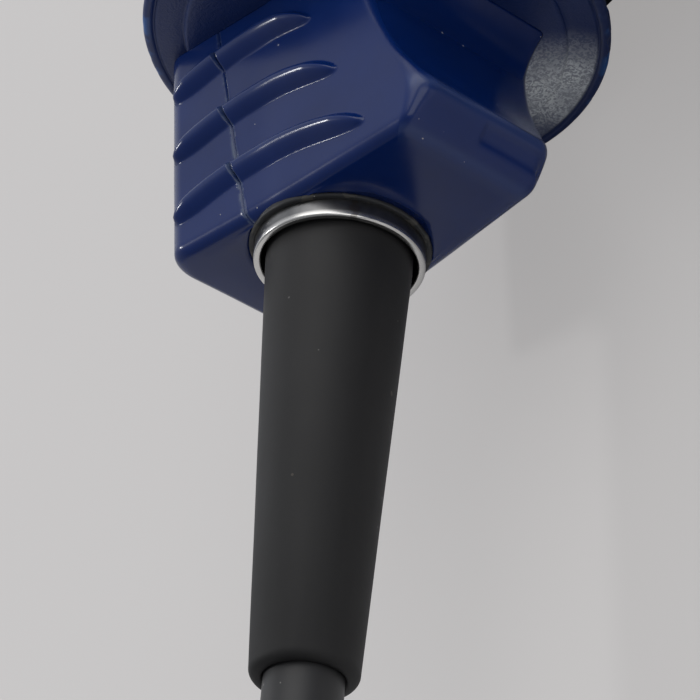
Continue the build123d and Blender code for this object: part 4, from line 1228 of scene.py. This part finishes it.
def thumb_bar():
    """One low rounded bar across the door, along Z."""
    points = []
    for z in (-bar_length / 2, -bar_length / 2 + 0.5, bar_length / 2 - 0.5, bar_length / 2):
        share = 0.35 if abs(z) == bar_length / 2 else 1.0
        turns = np.linspace(0, math.pi, 7)
        points += [(bar_half * share * math.cos(t), bar_height * share * math.sin(t), z) for t in turns]
        points.append((0, -0.25, z))
    faces = grid_faces(4, 8, close=True) + [tuple(range(7, -1, -1)), tuple(range(24, 32))]
    return points, faces


def straight_row_tree(name):
    """A tree that repeats its own mesh along a line, turned to it, and joins it to a body."""
    vectors = ((label, "Vector") for label in ("Start", "Step", "Turn"))
    tree, ins = shape_tree(name, (("Count", "Int"), *vectors, ("Body", "Object")))
    line = add(tree, "GeometryNodeMeshLine", in_Count=ins["Count"], in_Start_Location=ins["Start"],
               in_Offset=ins["Step"])
    stood = add(tree, "GeometryNodeInstanceOnPoints", in_Points=line.outputs[0], in_Instance=ins["Geometry"],
                in_Rotation=ins["Turn"])
    return finish_tree(tree, ins, joined_to_body(tree, ins, stood))


def handle_place(along, out):
    """A place in the handle's own frame, in metres."""
    return tuple((np.array([head_x, head_y, 0]) + along * along_handle + out * out_of_back) * MM)


door_body = softened("cell_door_body", "battery_door", 0.33, 3)
door = grown_piece("cell_door", mesh_piece("thumb_bar", *thumb_bar()), straight_row_tree("thumb_bar_row"),
                   Count=bar_count, Start=handle_place(door_start + 5.0, door_back - 0.12),
                   Step=tuple(along_handle * bar_pitch * MM), Turn=(0, 0, -handle_slope), Body=door_body,
                   Finish=blue_housing)
bpy.data.objects.remove(door_body)
settle(door, "battery_cover", "blue_housing", blue_housing, "battery_door")


# ---------------------------------------------------------------- butt foot
# A black rubber boot on the handle's end lets the controller stand on the bench.
# Two grooves run round it.
groove_levels, groove_half, groove_depth = (4.6, 8.2), 0.55, 0.7


def boot_grooves(points, normals):
    """Two soft grooves pressed into the boot's outside."""
    along, out, across = in_handle(points)
    level = along - along.min()
    groove = sum(np.exp(-((level - middle) / groove_half)**2) for middle in groove_levels)
    outside = np.hypot(out, across) > 14.0
    return points - normals * (groove_depth * groove * outside)[:, None]


boot = softened("boot", "butt_foot", 0.55, 3, boot_grooves)
settle(boot, "controller", "dark_rubber", dark_rubber, "butt_foot")


# ---------------------------------------------------------------- charging jack and indicator lens
# A black plastic socket in the handle's end takes the charger's plug.
# A clear green light pipe shows the charge.
jack_plastic = plain_finish("jack_plastic", (0.018, 0.018, 0.019), 0.4, grain=1500.0)
lens_clear = plain_finish("lens_clear", (0.10, 0.55, 0.16), 0.1, shade=0.9, grain=400.0, grain_depth=0.01,
                          coat=0.6, scratches=0.2)
dress(jack_plastic, "charge_jack")
dress(lens_clear, "indicator_lens")


# ---------------------------------------------------------------- pump, motor, valves, board and cells
# Everything inside the head and handle keeps its own shape and shows only where the case is open.
dress(plain_finish("stem_plastic", (0.50, 0.51, 0.52), 0.5, grain=1600.0, shade=0.92), "nose_stem")
dress(plain_finish("brass_nut", (0.70, 0.53, 0.26), 0.28, metallic=1.0, grain=1400.0), "stem_nut")
dress(plain_finish("valve_plastic", (0.68, 0.68, 0.65), 0.45, grain=1500.0, shade=0.94), "valve_block")
valve_steel = plain_finish("valve_steel", (0.55, 0.55, 0.55), 0.25, metallic=1.0, grain=1800.0)
dress(valve_steel, "aspirate_valve_stem", "dispense_valve_stem")
spring_steel = plain_finish("spring_steel", (0.50, 0.50, 0.50), 0.32, metallic=1.0, grain=2400.0)
dress(spring_steel, "aspirate_spring", "dispense_spring")
dress(plain_finish("motor_steel", (0.55, 0.55, 0.56), 0.3, metallic=1.0, grain=1300.0), "motor_can")
dress(plain_finish("magnet_iron", (0.07, 0.07, 0.075), 0.55, metallic=0.4, grain=1900.0), "motor_magnets")
dress(plain_finish("rotor_iron", (0.20, 0.18, 0.16), 0.45, metallic=0.8, grain=2600.0), "motor_rotor")
dress(plain_finish("cam_brass", (0.70, 0.53, 0.26), 0.25, metallic=1.0, grain=1700.0), "eccentric_cam")
dress(plain_finish("mount_plastic", (0.04, 0.04, 0.045), 0.5, grain=1500.0), "motor_mount")
dress(plain_finish("rod_plastic", (0.78, 0.78, 0.74), 0.45, grain=1500.0, shade=0.95), "connecting_rod")
diaphragm_rubber = plain_finish("diaphragm_rubber", (0.05, 0.05, 0.05), 0.6, grain=1800.0)
dress(diaphragm_rubber, "pump_diaphragm", "pump_valve_plate")
dress(plain_finish("pump_plastic", (0.06, 0.06, 0.065), 0.45, grain=1500.0), "pump_body", "pump_cover")
tube_silicone = plain_finish("tube_silicone", (0.72, 0.73, 0.73), 0.4, grain=900.0, shade=0.95, coat=0.3)
dress(tube_silicone, "air_tubes")
dress(plain_finish("board_green", (0.02, 0.15, 0.055), 0.4, grain=1200.0, coat=0.4), "circuit_board")
dress(plain_finish("switch_plastic", (0.03, 0.03, 0.03), 0.45, grain=1600.0), "microswitches")
dress(plain_finish("cell_wrap", (0.08, 0.28, 0.12), 0.25, grain=700.0, coat=0.4), "battery_cells")
contact_metal = plain_finish("contact_metal", (0.70, 0.62, 0.45), 0.28, metallic=1.0, grain=1500.0)
dress(contact_metal, "battery_contacts")
